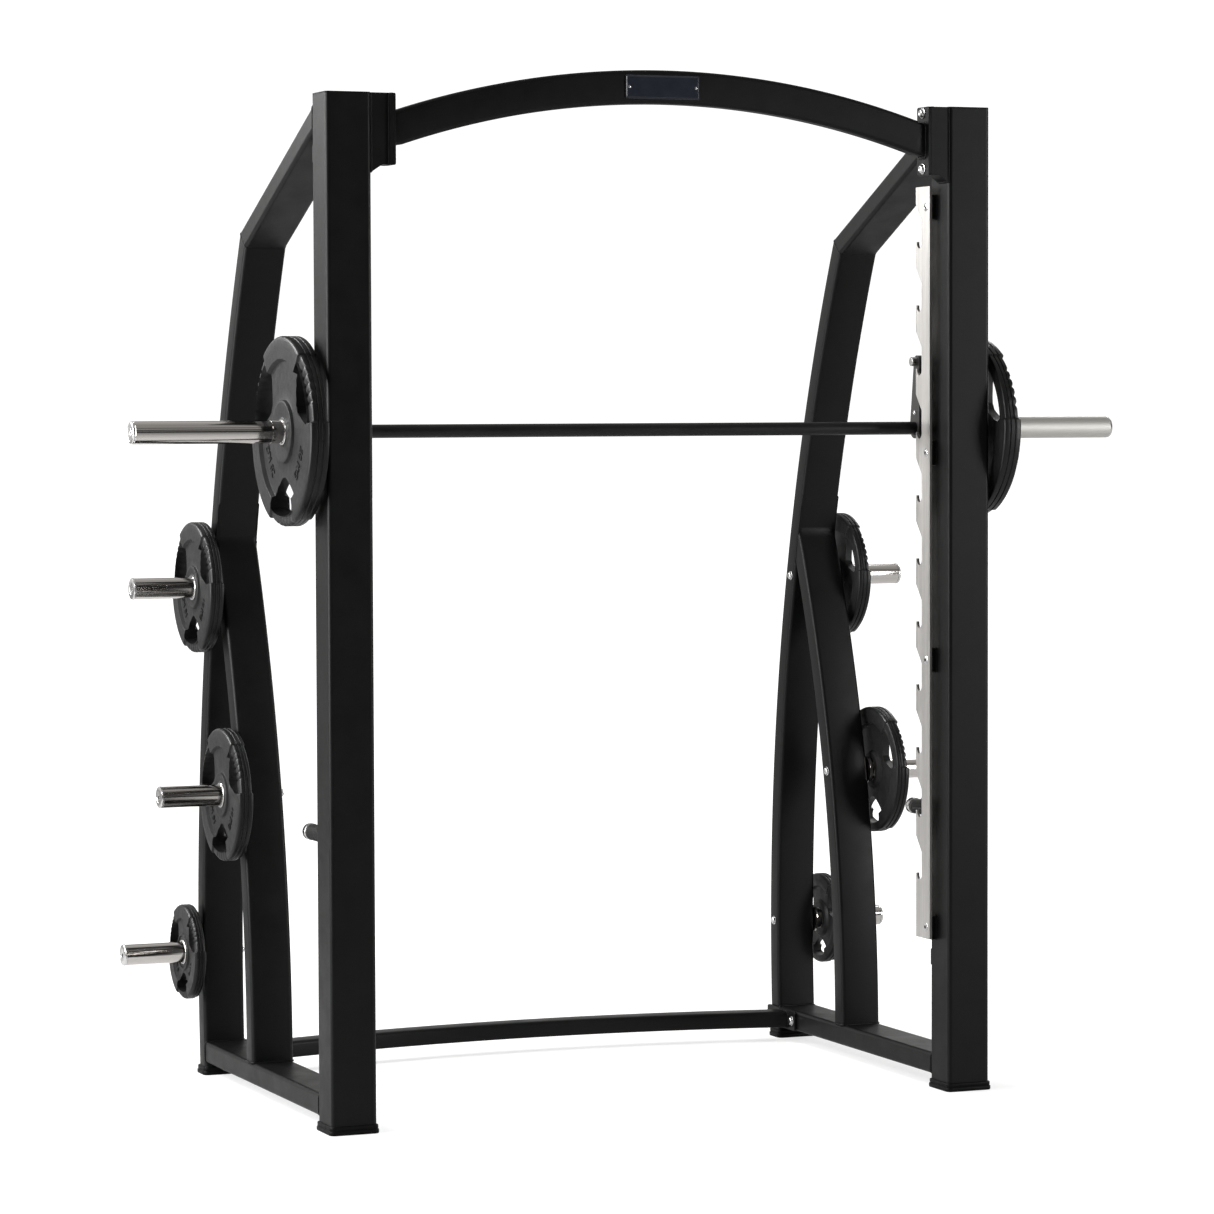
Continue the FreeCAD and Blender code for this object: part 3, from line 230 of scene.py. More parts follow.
class Geo:
    def __init__(self):
        self.v, self.f, self.i = [], [], []

    def add(self, verts, faces, mat=0):
        k = len(self.v)
        self.v.extend([tuple(p) for p in verts])
        for n, f in enumerate(faces):
            self.f.append(tuple(k + j for j in f))
            self.i.append(mat[n] if isinstance(mat, (list, tuple, np.ndarray)) else mat)

    def lathe(self, profile, origin, axis, segs=64, mats=0, closed=False, phase=0.0):
        """profile: (distance along axis, radius); axis is a unit vector."""
        a = Vector(axis).normalized()
        u = a.orthogonal().normalized()
        if abs(a.x) > 0.9:
            u = Vector((0, 0, 1))
        elif abs(a.y) > 0.9:
            u = Vector((0, 0, 1))
        w = a.cross(u)
        o = Vector(origin)
        vs, fs, ms = [], [], []
        n = len(profile)
        for d, r in profile:
            for s in range(segs):
                t = 2 * math.pi * s / segs + phase
                vs.append(o + a * d + (u * math.cos(t) + w * math.sin(t)) * r)
        m = n if closed else n - 1
        for i in range(m):
            j = (i + 1) % n
            for s in range(segs):
                q = (s + 1) % segs
                fs.append((i * segs + s, i * segs + q, j * segs + q, j * segs + s))
                ms.append(mats[i] if isinstance(mats, (list, tuple)) else mats)
        if not closed:
            if profile[0][1] > 1e-6:
                fs.append(tuple(reversed(range(segs))))
                ms.append(mats[0] if isinstance(mats, (list, tuple)) else mats)
            if profile[-1][1] > 1e-6:
                fs.append(tuple((n - 1) * segs + s for s in range(segs)))
                ms.append(mats[-1] if isinstance(mats, (list, tuple)) else mats)
        self.add(vs, fs, ms)

    def loops(self, rings, mat=0, caps=True, closed=False):
        """rings: lists of points with the same count, skinned one to the next."""
        n = len(rings[0])
        vs = [p for r in rings for p in r]
        fs = []
        m = len(rings)
        for i in range(m if closed else m - 1):
            j = (i + 1) % m
            for s in range(n):
                q = (s + 1) % n
                fs.append((i * n + s, i * n + q, j * n + q, j * n + s))
        if caps and not closed:
            fs.append(tuple(reversed(range(n))))
            fs.append(tuple((m - 1) * n + s for s in range(n)))
        self.add(vs, fs, mat)


def rrect(w, d, r, k=6):
    """rounded rectangle outline in a plane, counter-clockwise."""
    pts = []
    for cx, cy, a0 in ((w / 2 - r, d / 2 - r, 0), (-w / 2 + r, d / 2 - r, 90), (-w / 2 + r, -d / 2 + r, 180), (w / 2 - r, -d / 2 + r, 270)):
        for i in range(k + 1):
            a = math.radians(a0 + 90.0 * i / k)
            pts.append((cx + r * math.cos(a), cy + r * math.sin(a)))
    return pts


def resample(pts, step, closed):
    p = [Vector(q) for q in pts]
    if closed:
        p = p + [p[0]]
    seg = [(p[i + 1] - p[i]).length for i in range(len(p) - 1)]
    total = sum(seg)
    n = max(4, int(round(total / step)))
    out = []
    for k in range(n if closed else n + 1):
        t = total * k / n
        i = 0
        while i < len(seg) - 1 and t > seg[i]:
            t -= seg[i]
            i += 1
        out.append(p[i].lerp(p[i + 1], min(1.0, t / max(seg[i], 1e-9))))
    return out


def bead(geo, pts, closed=True, r=2.6, step=2.0, pitch=5.0, seed=0, mat=0):
    """a weld bead: a thin rippled cord laid along a seam."""
    q = resample(pts, step, closed)
    rs = np.random.RandomState(seed)
    n = len(q)
    rings = []
    prev = None
    for i in range(n):
        a = q[(i - 1) % n] if closed or i > 0 else q[0]
        b = q[(i + 1) % n] if closed or i < n - 1 else q[-1]
        t = (b - a).normalized()
        u = (prev - t * prev.dot(t)).normalized() if prev is not None else t.orthogonal().normalized()
        prev = u
        w = t.cross(u)
        rr = r * (1.0 + 0.16 * math.sin(2 * math.pi * i * step / pitch) + 0.06 * rs.uniform(-1, 1))
        rings.append([q[i] + (u * math.cos(2 * math.pi * s / 8) + w * math.sin(2 * math.pi * s / 8)) * rr for s in range(8)])
    geo.loops(rings, mat, caps=True, closed=closed)


def button(geo, pos, axis, r=10.0, h=5.5, wr=12.0, wt=2.0, hexr=3.6, mats=(0, 1)):
    """domed button-head screw on its washer, with a hexagon socket."""
    pr = []
    if wr:
        pr += [(-1.0, wr), (wt * 0.8, wr), (wt, wr - 0.7), (wt, r)]
    else:
        pr += [(-1.0, r), (0.3, r)]
    z = wt if wr else 0.0
    for k in range(7):
        a = math.radians(90.0 * k / 6 * 0.62)
        pr.append((z + 0.8 + (h - 0.8) * math.sin(a) / math.sin(math.radians(55.8)), r * (0.28 + 0.72 * math.cos(a)) if k else r))
    top = z + h
    pr[-1] = (top, pr[-1][1])
    pr.append((top, hexr + 0.9))
    pr.append((top - 0.4, hexr + 0.2))
    geo.lathe(pr + [(top - 0.4, hexr)], pos, axis, 32, mats[0])
    # the hexagon socket takes the second material, the near-black lining of painted shade
    geo.lathe([(top - 0.45, hexr * 1.12), (top - 3.2, hexr * 1.1), (top - 3.2, 0.0)], pos, axis, 6, mats[1])


def use(node, mat):
    o = NODES[node]
    if not o.material_slots:
        o.data.materials.append(mat)
    for s in o.material_slots:
        s.material = mat


# ------------------------------------------------- materials on the CAD nodes
for side in ("left", "right"):
    for n in ("post", "rear_upright", "front_leg", "top_brace", "base_tube", "arch_bracket"):
        use(side + "_" + n, PAINT)
    use(side + "_rack_plate", RACK)
    use(side + "_guide_rod", CHROME)
    use(side + "_carriage", PAINT_BAR)
    use(side + "_hook_lever", LEVER)
    use(side + "_catch_bush", PIN)
    use(side + "_safety_catch", LEVER)
for n in ("top_arch", "rear_cross_tube", "rack_lugs", "rod_top_holders", "rod_bottom_holders"):
    use(n, PAINT)
use("post_caps", PLASTIC)
use("bar_shaft", PAINT_BAR)
use("linear_bearings", PIN)
use("bar_bearings", PIN)
use("hook_pins", PIN)


# --------------------------------------------------- bent tubes of the frame
def arc_tube(name, node, plane, centre, R, half, w, angles, x0=0.0, clamp=None, mitre=None, ztrim=None, xtrim=None):
    """a rounded hollow-section look along an arc. plane "YZ" bends about X, "XZ" about Y, "XY" about Z."""
    g = Geo()
    rings = []
    sec = rrect(w, 2 * half, 9.0, 6)
    for a in angles:
        ca, sa = math.cos(a), math.sin(a)
        ring = []
        for q, d in sec:
            r = R + d
            u, v = centre[0] + r * ca, centre[1] + r * sa
            if plane == "YZ":
                if clamp:
                    dy, dz = u - clamp[0], v - clamp[1]
                    dd = math.hypot(dy, dz)
                    if dd > clamp[2]:
                        u, v = clamp[0] + dy * clamp[2] / dd, clamp[1] + dz * clamp[2] / dd
                ring.append([x0 + q, u - YM, v])
            elif plane == "XZ":
                ring.append([u, x0 + q - YM, v])
            else:
                ring.append([u, v - YM, x0 + q])
        rings.append(ring)
    R3 = np.array(rings)
    if mitre is not None:
        # the last ring is laid on the mitre plane
        (ky, kz), (ny, nz) = mitre
        t = np.array([0.0, -math.sin(angles[-1]), math.cos(angles[-1])])
        n = np.array([0.0, ny, nz])
        k = np.array([0.0, ky - YM, kz])
        for i in range(R3.shape[1]):
            p = R3[-1, i] * np.array([0, 1, 1])
            R3[-1, i] += t * (np.dot(k - p, n) / np.dot(t, n))
    if ztrim is not None:
        R3[ztrim[0], :, 2] = ztrim[1]
    if xtrim is not None:
        R3[0, :, 0] = xtrim
        R3[-1, :, 0] = -xtrim
    g.loops([[tuple(p) for p in r] for r in R3], 0)
    o = make(name, g.v, g.f, [PAINT], g.i, angle=40)
    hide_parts(node)
    return g


th_k = math.atan2(1961.0 - 283.6, 600.0 + 3060.1)
down_k = 90.0 - math.degrees(th_k)
mit_k = math.radians((down_k + 26.0) / 2)
n_k = (math.cos(mit_k), -math.sin(mit_k))
for side, sg in (("left", -1), ("right", 1)):
    a0_ = math.asin((20.0 - 283.6) / 4026.1)
    ang = [a0_ + (th_k - a0_) * i / 120 for i in range(121)]
    arc_tube(side + "_upright_visual", side + "_rear_upright", "YZ", (-3060.1, 283.6), 4026.1, 25.0, 100.0, ang, sg * 748.3, mitre=((600.0, 1961.0), n_k), ztrim=(0, 20.0))
    b0_, b1_ = math.asin((79.0 - 51.6) / 3089.8), math.radians(25.2)
    ang = [math.pi - (b0_ + (b1_ - b0_) * i / 90) for i in range(91)]
    arc_tube(side + "_leg_visual", side + "_front_leg", "YZ", (3682.7, 51.6), 3089.8, 25.0, 99.5, ang, sg * 748.3, clamp=(-3060.1, 283.6, 4001.6), ztrim=(0, 79.0))
ae_ = math.acos(642.0 / 1996.0)
g_arch = arc_tube("arch_visual", "top_arch", "XZ", (0.0, 290.5), 1996.0, 37.5, 40.0, [ae_ + (math.pi - 2 * ae_) * i / 120 for i in range(121)], 28.0, xtrim=642.0)
ce_ = math.acos(692.0 / 2643.0)
arc_tube("cross_tube_visual", "rear_cross_tube", "XY", (0.0, -1653.0), 2643.0, 30.0, 40.0, [ce_ + (math.pi - 2 * ce_) * i / 100 for i in range(101)], 54.0, xtrim=692.0)


def slab(name, lo, hi, r, axis=0, bevel=0.8, mat=None, body="frame"):
    """flat plate between two corners, its outline rounded in the plane square to its axis."""
    g = Geo()
    lo, hi = list(lo), list(hi)
    p, q = [k for k in range(3) if k != axis]
    c = [(lo[k] + hi[k]) / 2 for k in range(3)]
    rings = []
    for t, gr in ((lo[axis], -bevel), (lo[axis] + bevel, 0.0), (hi[axis] - bevel, 0.0), (hi[axis], -bevel)):
        ring = []
        for x, y in rrect(hi[p] - lo[p] + 2 * gr, hi[q] - lo[q] + 2 * gr, max(0.5, r + gr), 4):
            v = [0, 0, 0]
            v[axis], v[p], v[q] = t, c[p] + x, c[q] + y
            ring.append(tuple(v))
        rings.append(ring)
    g.loops(rings, 0)
    return make(name, g.v, g.f, [mat or PAINT], g.i, body=body, angle=30)


for side, sg in (("left", -1), ("right", 1)):
    xs = sorted((sg * 642.0, sg * 648.3))
    slab(side + "_arch_flange", (xs[0], -6.0 - YM, 2103.0), (xs[1], 54.0 - YM, 2258.0), 5.0)
    xs = sorted((sg * 692.0, sg * 698.3))
    slab(side + "_cross_flange", (xs[0], 832.0 - YM, 30.0), (xs[1], 992.0 - YM, 78.0), 6.0)


# --------------------------------------------------------------- weight plates
def plate(name, pre_r, t, apex, out, x_in, sg, yc, zc, body, node, figures):
    R, T = pre_r, t
    k = R / 209.0
    # rows as (radius, z, part) from the bore's outer edge over the rim to the inner face
    zf = 0.78 * T
    zr = T
    hub = 41.2
    step_r = out - 30 * k
    ring = max(0.325 * R, hub + 2.0)
    front = [(25.3, T - 3.6), (27.5, T - 2.6), (30.5, T - 2.6), (32.5, T - 4.0), (hub - 2, T - 3.6), (ring - 5, T - 1.6), (ring - 1.5, T - 1.6), (ring, T - 2.2), (ring + 2.6 * k, zf + 0.5), (ring + 4.0 * k, zf)]
    last = front[-1][0]
    a0 = max(apex, last + 2.5)
    front += [(a0 - 1.5, zf - 0.1)]
    us = [0.0, 0.10, 0.22, 0.36, 0.50]
    rr = [a0 + (out - a0) * u for u in us if a0 + (out - a0) * u < step_r - 3 * k]
    rr += [step_r - 0.8 * k, step_r, step_r + 5 * k, step_r + 5.8 * k, out - 9 * k, out]
    n_in = len(rr)
    fr_open0 = len(front)
    for r in rr:
        # arms step up to the raised outer band
        z = zf if r < step_r else (zf + (zr - zf) * min(1.0, (r - step_r) / (5 * k)))
        front.append((r, z))
    fr_open1 = len(front) - 1
    rim = [(out + 3 * k, zr), (R - 8 * k, zr), (R - 3.5, zr - 1.0), (R - 1.0, zr - 3.2), (R, zr - 6.0)]
    b1, b2 = T * 0.62, T * 0.34
    rim += [(R, b1 + 2.0), (R - 2.0, b1 + 1.0), (R - 2.0, b1 - 1.0), (R, b1 - 2.0),
            (R, b2 + 2.0), (R - 2.0, b2 + 1.0), (R - 2.0, b2 - 1.0), (R, b2 - 2.0),
            (R, 5.0), (R - 1.0, 2.2), (R - 3.5, 0.6), (R - 8 * k, 0.0), (out + 3 * k, 0.0)]
    back = []
    zb = T * 0.30
    bk_rows = []
    for r in reversed(rr):
        z = zb if r < step_r else zb * (1 - min(1.0, (r - step_r) / (7 * k)))
        bk_rows.append((r, z))
    back = bk_rows + [(a0 - 1.5, zb), (hub + 6, zb), (hub, 3.2), (hub - 3, 2.6), (27.5, 2.6), (25.3, 3.4)]
    prof = front + rim + back
    nf, nr = len(front), len(rim)
    bk_open0 = nf + nr
    bk_open1 = bk_open0 + n_in - 1
    NO, NA = 22, 20            # columns across an opening and across an arm
    th_out = math.radians(26.0)
    half_in = 0.12 * a0

    def phi(r):
        # half angle of the opening at a radius, with rounded ends
        if r <= a0:
            t = half_in * 0.72
            return math.atan2(t, a0)
        y0, y1 = a0, out * math.cos(th_out)
        x1 = out * math.sin(th_out)
        u = min(1.0, (r - a0) / (out - a0))
        y = y0 + (y1 - y0) * u
        x = half_in + (x1 - half_in) * u
        grow = math.sin(math.pi * min(1.0, u * 1.15)) * 0.075
        return math.atan2(x, y) + grow - (0.045 if u > 0.97 else 0.0)

    def columns(r):
        p = phi(r)
        full = math.radians(120.0)
        cols = []
        for s in range(3):
            c = -math.pi / 2 + s * full
            for i in range(NO):
                cols.append((c - p + 2 * p * i / NO, True, i, s))
            for i in range(NA):
                f = 0.0 if i == 0 else (0.014 if i == 1 else (0.986 if i == NA - 1 else 0.014 + 0.972 * (i - 1) / (NA - 2)))
                cols.append((c + p + (full - 2 * p) * f, False, i, s))
        return cols

    verts, faces, mi = [], [], []
    ncol = 3 * (NO + NA)
    xr = 2.4 * k
    for pi_, (r, z) in enumerate(prof):
        cols = columns(min(r, out))
        for (th, opening, i, s) in cols:
            r2, z2 = r, z
            if r > out + 1 and (opening or i == 0):
                # the rim is a slimmer, ribbed bar where the hand goes
                zlo, zhi = T * 0.07, T * 0.87
                z2 = zlo + (zhi - zlo) * (z / T)
                r2 = r - xr * (0.5 if r < R - 10 * k else 1.0)
                if opening and 3 < i < NO - 3 and pi_ < nf + 9:
                    if i % 3 == 0:
                        z2 -= 3.0 * k if pi_ < nf + 5 else 0.0
                        r2 -= 2.2 * k
            elif opening and r >= a0 - 2 and pi_ < nf:
                z2 = z
            verts.append((th, r2, z2))
    # to machine space
    P = np.array(verts)
    th, r2, z2 = P[:, 0], P[:, 1], P[:, 2]
    X = sg * (x_in + z2)
    Y = (yc - YM) + sg * r2 * np.cos(th)
    Z = zc + r2 * np.sin(th)
    V3 = np.stack([X, Y, Z], 1)
    npf = len(prof)
    colinfo = columns(out)

    def vid(p, c):
        return (p % npf) * ncol + (c % ncol)

    for p in range(npf):
        for c in range(ncol):
            opening = colinfo[c][1]
            if opening and ((fr_open0 <= p < fr_open1) or (bk_open0 <= p < bk_open1)):
                continue
            faces.append((vid(p, c), vid(p, c + 1), vid(p + 1, c + 1), vid(p + 1, c)))
            # the rim rows take the darker rubber copy, painted shade
            mi.append(1 if nf + 2 <= p < nf + nr - 2 else 0)
    # walls of the openings, in the darker rubber copy as painted shade
    fo = list(range(fr_open0, fr_open1 + 1))
    bo = list(range(bk_open1, bk_open0 - 1, -1))
    for s in range(3):
        c0 = s * (NO + NA)
        c1 = c0 + NO
        for a, b in zip(range(n_in - 1), range(1, n_in)):
            faces.append((vid(fo[a], c0), vid(fo[b], c0), vid(bo[b], c0), vid(bo[a], c0)))
            faces.append((vid(fo[b], c1), vid(fo[a], c1), vid(bo[a], c1), vid(bo[b], c1)))
            mi += [1, 1]
        for c in range(c0, c1):
            faces.append((vid(fo[0], c + 1), vid(fo[0], c), vid(bo[0], c), vid(bo[0], c + 1)))
            faces.append((vid(fo[-1], c), vid(fo[-1], c + 1), vid(bo[-1], c + 1), vid(bo[-1], c)))
            mi += [1, 1]
    if sg > 0:
        faces = [tuple(reversed(f)) for f in faces]
    o = make(name, V3, faces, [PLATE, PLATE_SHADE_RUBBER], mi, body=body, angle=32, bevel=1.3)
    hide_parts(node)
    # steel ring pressed in the bore
    g = Geo()
    c = (sg * x_in, yc - YM, zc)
    ax = (sg, 0, 0)
    g.lathe([(3.4, 25.25), (T - 3.0, 25.25), (T - 1.9, 25.6), (T - 1.5, 26.6), (T - 1.6, 28.2), (T - 2.3, 28.8), (T - 4.2, 28.6), (3.4, 28.6)], c, ax, 72, 0, closed=True)
    make(name + "_bore_ring", g.v, g.f, [CHROME_END], g.i, body=body, angle=30)
    # figures, raised on the lower arms and turned along the web
    for q, (ang, rad, size, txt) in enumerate(figures):
        cu = bpy.data.curves.new(name + "_figure%d" % q, "FONT")
        cu.body = txt
        cu.size = size * MM
        cu.align_x = "CENTER"
        cu.align_y = "CENTER"
        cu.extrude = 0.0009
        cu.bevel_depth = 0.00035
        cu.resolution_u = 3
        ob = bpy.data.objects.new(name + "_figure%d_src" % q, cu)
        bpy.context.scene.collection.objects.link(ob)
        dg = bpy.context.evaluated_depsgraph_get()
        dg.update()
        me = bpy.data.meshes.new_from_object(ob.evaluated_get(dg))
        bpy.data.objects.remove(ob)
        me.materials.clear()
        me.materials.append(INK)
        # text's own x runs clockwise as seen from outside, its y towards the rim
        a = math.radians(ang)
        rad_dir = Vector((0, math.cos(a), math.sin(a)))
        nrm = Vector((sg, 0, 0))
        xdir = rad_dir.cross(nrm)
        M = Matrix((xdir, rad_dir, nrm)).transposed().to_4x4()
        pos = Vector((sg * (x_in + zf + 0.5), yc - YM + rad * math.cos(a), zc + rad * math.sin(a))) * MM
        M.translation = pos
        me.transform(M)
        me.polygons.foreach_set("use_smooth", [False] * len(me.polygons))
        fo_ = bpy.data.objects.new(name + "_figure%d" % q, me)
        bpy.context.scene.collection.objects.link(fo_)
        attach(fo_, body)
    return o


BAR_Y, BAR_Z = 154.5, 1526.8
PEGS = ((862.6, 1159.4), (653.8, 690.4), (963.6, 292.1))
for side, sg in (("left", -1), ("right", 1)):
    # the figures stand left and right of the lower opening
    def fig(rad, size, txt):
        return [(-90 - 55, rad, size, txt), (-90 + 57, rad, size, txt)]
    plate(side + "_plate_20", 209.0, 44.0, 100.0, 184.0, 812.2, sg, BAR_Y, BAR_Z, side + "_bar_weight", side + "_bar_plate", fig(117, 30, "20 KG"))
    plate(side + "_plate_10a", 153.5, 35.0, 66.0, 131.0, 812.0, sg, PEGS[0][0], PEGS[0][1], side + "_stored_weight_1", side + "_stored_plate_1", fig(84, 23, "10 KG"))
    plate(side + "_plate_10b", 153.5, 35.0, 66.0, 131.0, 812.0, sg, PEGS[1][0], PEGS[1][1], side + "_stored_weight_2", side + "_stored_plate_2", fig(84, 23, "10 KG"))
    plate(side + "_plate_5", 112.5, 28.0, 50.0, 94.0, 818.0, sg, PEGS[2][0], PEGS[2][1], side + "_stored_weight_3", side + "_stored_plate_3", fig(64, 17, "5 KG"))


# ------------------------------------------------------------ sleeves and pegs
for side, sg in (("left", -1), ("right", 1)):
    ax = (sg, 0, 0)
    g = Geo()
    pr = [(803.0, 15.2), (803.0, 31.5), (804.2, 33.4), (805.5, 34.0), (809.0, 34.0), (810.4, 33.4), (811.0, 31.8), (811.0, 25.6), (811.8, 24.9)]
    pr += [(880.0, 24.9), (880.3, 24.2), (882.7, 24.2), (883.0, 24.9), (1189.4, 24.9), (1190.0, 24.3), (1190.0, 15.2)]
    g.lathe([(d, r) for d, r in pr], (0, BAR_Y - YM, BAR_Z), ax, 96, 0, closed=True)
    o = make(side + "_sleeve_visual", g.v, g.f, [CHROME if sg < 0 else SATIN], g.i, body="bar", angle=30)
    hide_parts(side + "_sleeve")
    g = Geo()
    c = (0, BAR_Y - YM, BAR_Z)
    g.lathe([(1190.0, 23.9), (1193.2, 24.3), (1194.9, 23.2), (1195.8, 21.4), (1196.0, 20.0), (1195.6, 19.4), (1195.6, 9.5), (1195.9, 9.0), (1195.9, 5.2), (1195.2, 4.4)], c, ax, 72, 0)
    # the hole in the sleeve's end cap is lined with painted shade
    g.lathe([(1195.3, 4.5), (1192.0, 4.2), (1192.0, 0.0)], c, ax, 24, 1)
    make(side + "_sleeve_cap_visual", g.v, g.f, [CHROME_END, RECESS_SHADE], g.i, body="bar", angle=30)
    for q, (py, pz) in enumerate(PEGS):
        g = Geo()
        c = (0, py - YM, pz)
        g.lathe([(798.3, 34.0), (804.6, 34.0), (805.8, 33.5), (806.3, 32.6), (806.3, 26.5), (807.5, 25.0), (809.0, 24.5), (983.6, 24.5), (984.0, 23.6)], c, ax, 72, 0)
        make("%s_peg_%d" % (side, q + 1), g.v, g.f, [CHROME], g.i, body="frame", angle=30)
        g = Geo()
        g.lathe([(984.0, 24.0), (984.3, 25.1), (988.4, 25.1), (990.2, 24.0), (991.0, 22.0), (991.0, 14.0), (990.5, 13.4), (990.5, 5.0), (990.1, 4.2)], c, ax, 72, 0)
        # the hole in the peg's end cap is lined with painted shade
        g.lathe([(990.2, 4.3), (987.5, 4.0), (987.5, 0.0)], c, ax, 24, 1)
        make("%s_peg_cap_%d" % (side, q + 1), g.v, g.f, [CHROME_END, RECESS_SHADE], g.i, body="frame", angle=30)
for n in ("left_storage_pegs", "right_storage_pegs", "peg_end_caps", "sleeve_end_caps"):
    pass
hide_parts("left_storage_pegs")
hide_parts("right_storage_pegs")
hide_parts("peg_end_caps")
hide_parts("sleeve_end_caps")


# ---------------------------------------------------------------------- bolts
g = Geo()
for sg in (-1, 1):
    for z in (2244.0, 2117.5):
        button(g, (sg * 642.0, 24.0 - YM, z), (-sg, 0, 0), 10.0, 6.0, 12.5, 2.2, 3.6)
        button(g, (sg * 655.0, 24.0 - YM, z), (sg, 0, 0), 9.5, 5.0, 12.0, 2.0, 3.4)
o = make("arch_bolts_visual", g.v, g.f, [BOLT, RECESS_SHADE], g.i, angle=40)
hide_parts("arch_bolts")
g = Geo()
for sg in (-1, 1):
    for y in (847.0, 977.0):
        button(g, (sg * 692.0, y - YM, 54.0), (-sg, 0, 0), 10.0, 5.5, 12.0, 2.0, 3.6)
o = make("cross_tube_bolts_visual", g.v, g.f, [BOLT, RECESS_SHADE], g.i, angle=40)
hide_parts("cross_tube_bolts")
g = Geo()
for sg in (-1, 1):
    for z in (2033.5, 1469.8, 993.1, 374.0):
        c = (sg * 677.6, 79.0 - YM, z)
        ax = (-sg, 0, 0)
        g.lathe([(-0.5, 9.6), (0.5, 9.6), (1.0, 9.0), (1.0, 7.9), (0.7, 7.4)], c, ax, 40, 0)
        g.lathe([(0.6, 7.7), (2.0, 7.3), (2.5, 6.2), (2.6, 4.6), (2.3, 4.0)], c, ax, 40, 0)
        # the hexagon socket is lined with painted shade
        g.lathe([(2.4, 4.3), (0.9, 4.1), (0.9, 0.0)], c, ax, 6, 1)
o = make("rack_screws_visual", g.v, g.f, [BOLT, RECESS_SHADE], g.i, angle=40)
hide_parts("rack_screws")
g = Geo()
for sg in (-1, 1):
    for (py, pz) in PEGS:
        button(g, (sg * 698.3, py - YM, pz), (-sg, 0, 0), 9.0, 5.0, 10.5, 1.5, 3.2)
o = make("peg_bolts_visual", g.v, g.f, [BOLT, RECESS_SHADE], g.i, angle=40)
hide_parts("peg_bolts")


# ----------------------------------------------------------------------- feet
def foot(name, cx, cy, w, d, node):
    g = Geo()
    rings = []
    for (z, grow, r) in ((0.0, -2.0, 11.0), (0.8, -0.6, 12.0), (2.4, 0.0, 12.6), (8.6, 0.0, 12.6), (9.6, -0.7, 12.0), (10.2, -2.2, 11.0),
                         (11.2, -2.2, 11.0), (12.0, -1.6, 11.4), (17.8, -1.6, 11.4), (19.2, -2.4, 10.8), (20.0, -4.2, 9.8)):
        rings.append([(cx + x, cy - YM + y, z) for x, y in rrect(w + 2 * grow, d + 2 * grow, r)])
    g.loops(rings, 0)
    o = make(name + "_visual", g.v, g.f, [PLASTIC], g.i, angle=40)
    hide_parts(node)


for side, sg in (("left", -1), ("right", 1)):
    lo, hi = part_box(side + "_post_foot")
    foot(side + "_front_foot", (lo.x + hi.x) / 2 / MM, (lo.y + hi.y) / 2 / MM + YM, (hi.x - lo.x) / MM, (hi.y - lo.y) / MM, side + "_post_foot")
    lo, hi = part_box(side + "_rear_foot")
    foot(side + "_back_foot", (lo.x + hi.x) / 2 / MM, (lo.y + hi.y) / 2 / MM + YM, (hi.x - lo.x) / MM, (hi.y - lo.y) / MM, side + "_rear_foot")


# ---------------------------------------------------------------- weld beads
def rect3(cx, w, y0, z0, dy, dz, half, r=9.0, k=5):
    """outline of a tube's section: X by w, and along (dy, dz) by 2*half about (y0, z0)."""
    return [Vector((cx + x, y0 - YM + dy * s, z0 + dz * s)) for x, s in rrect(w, 2 * half, r, k)]


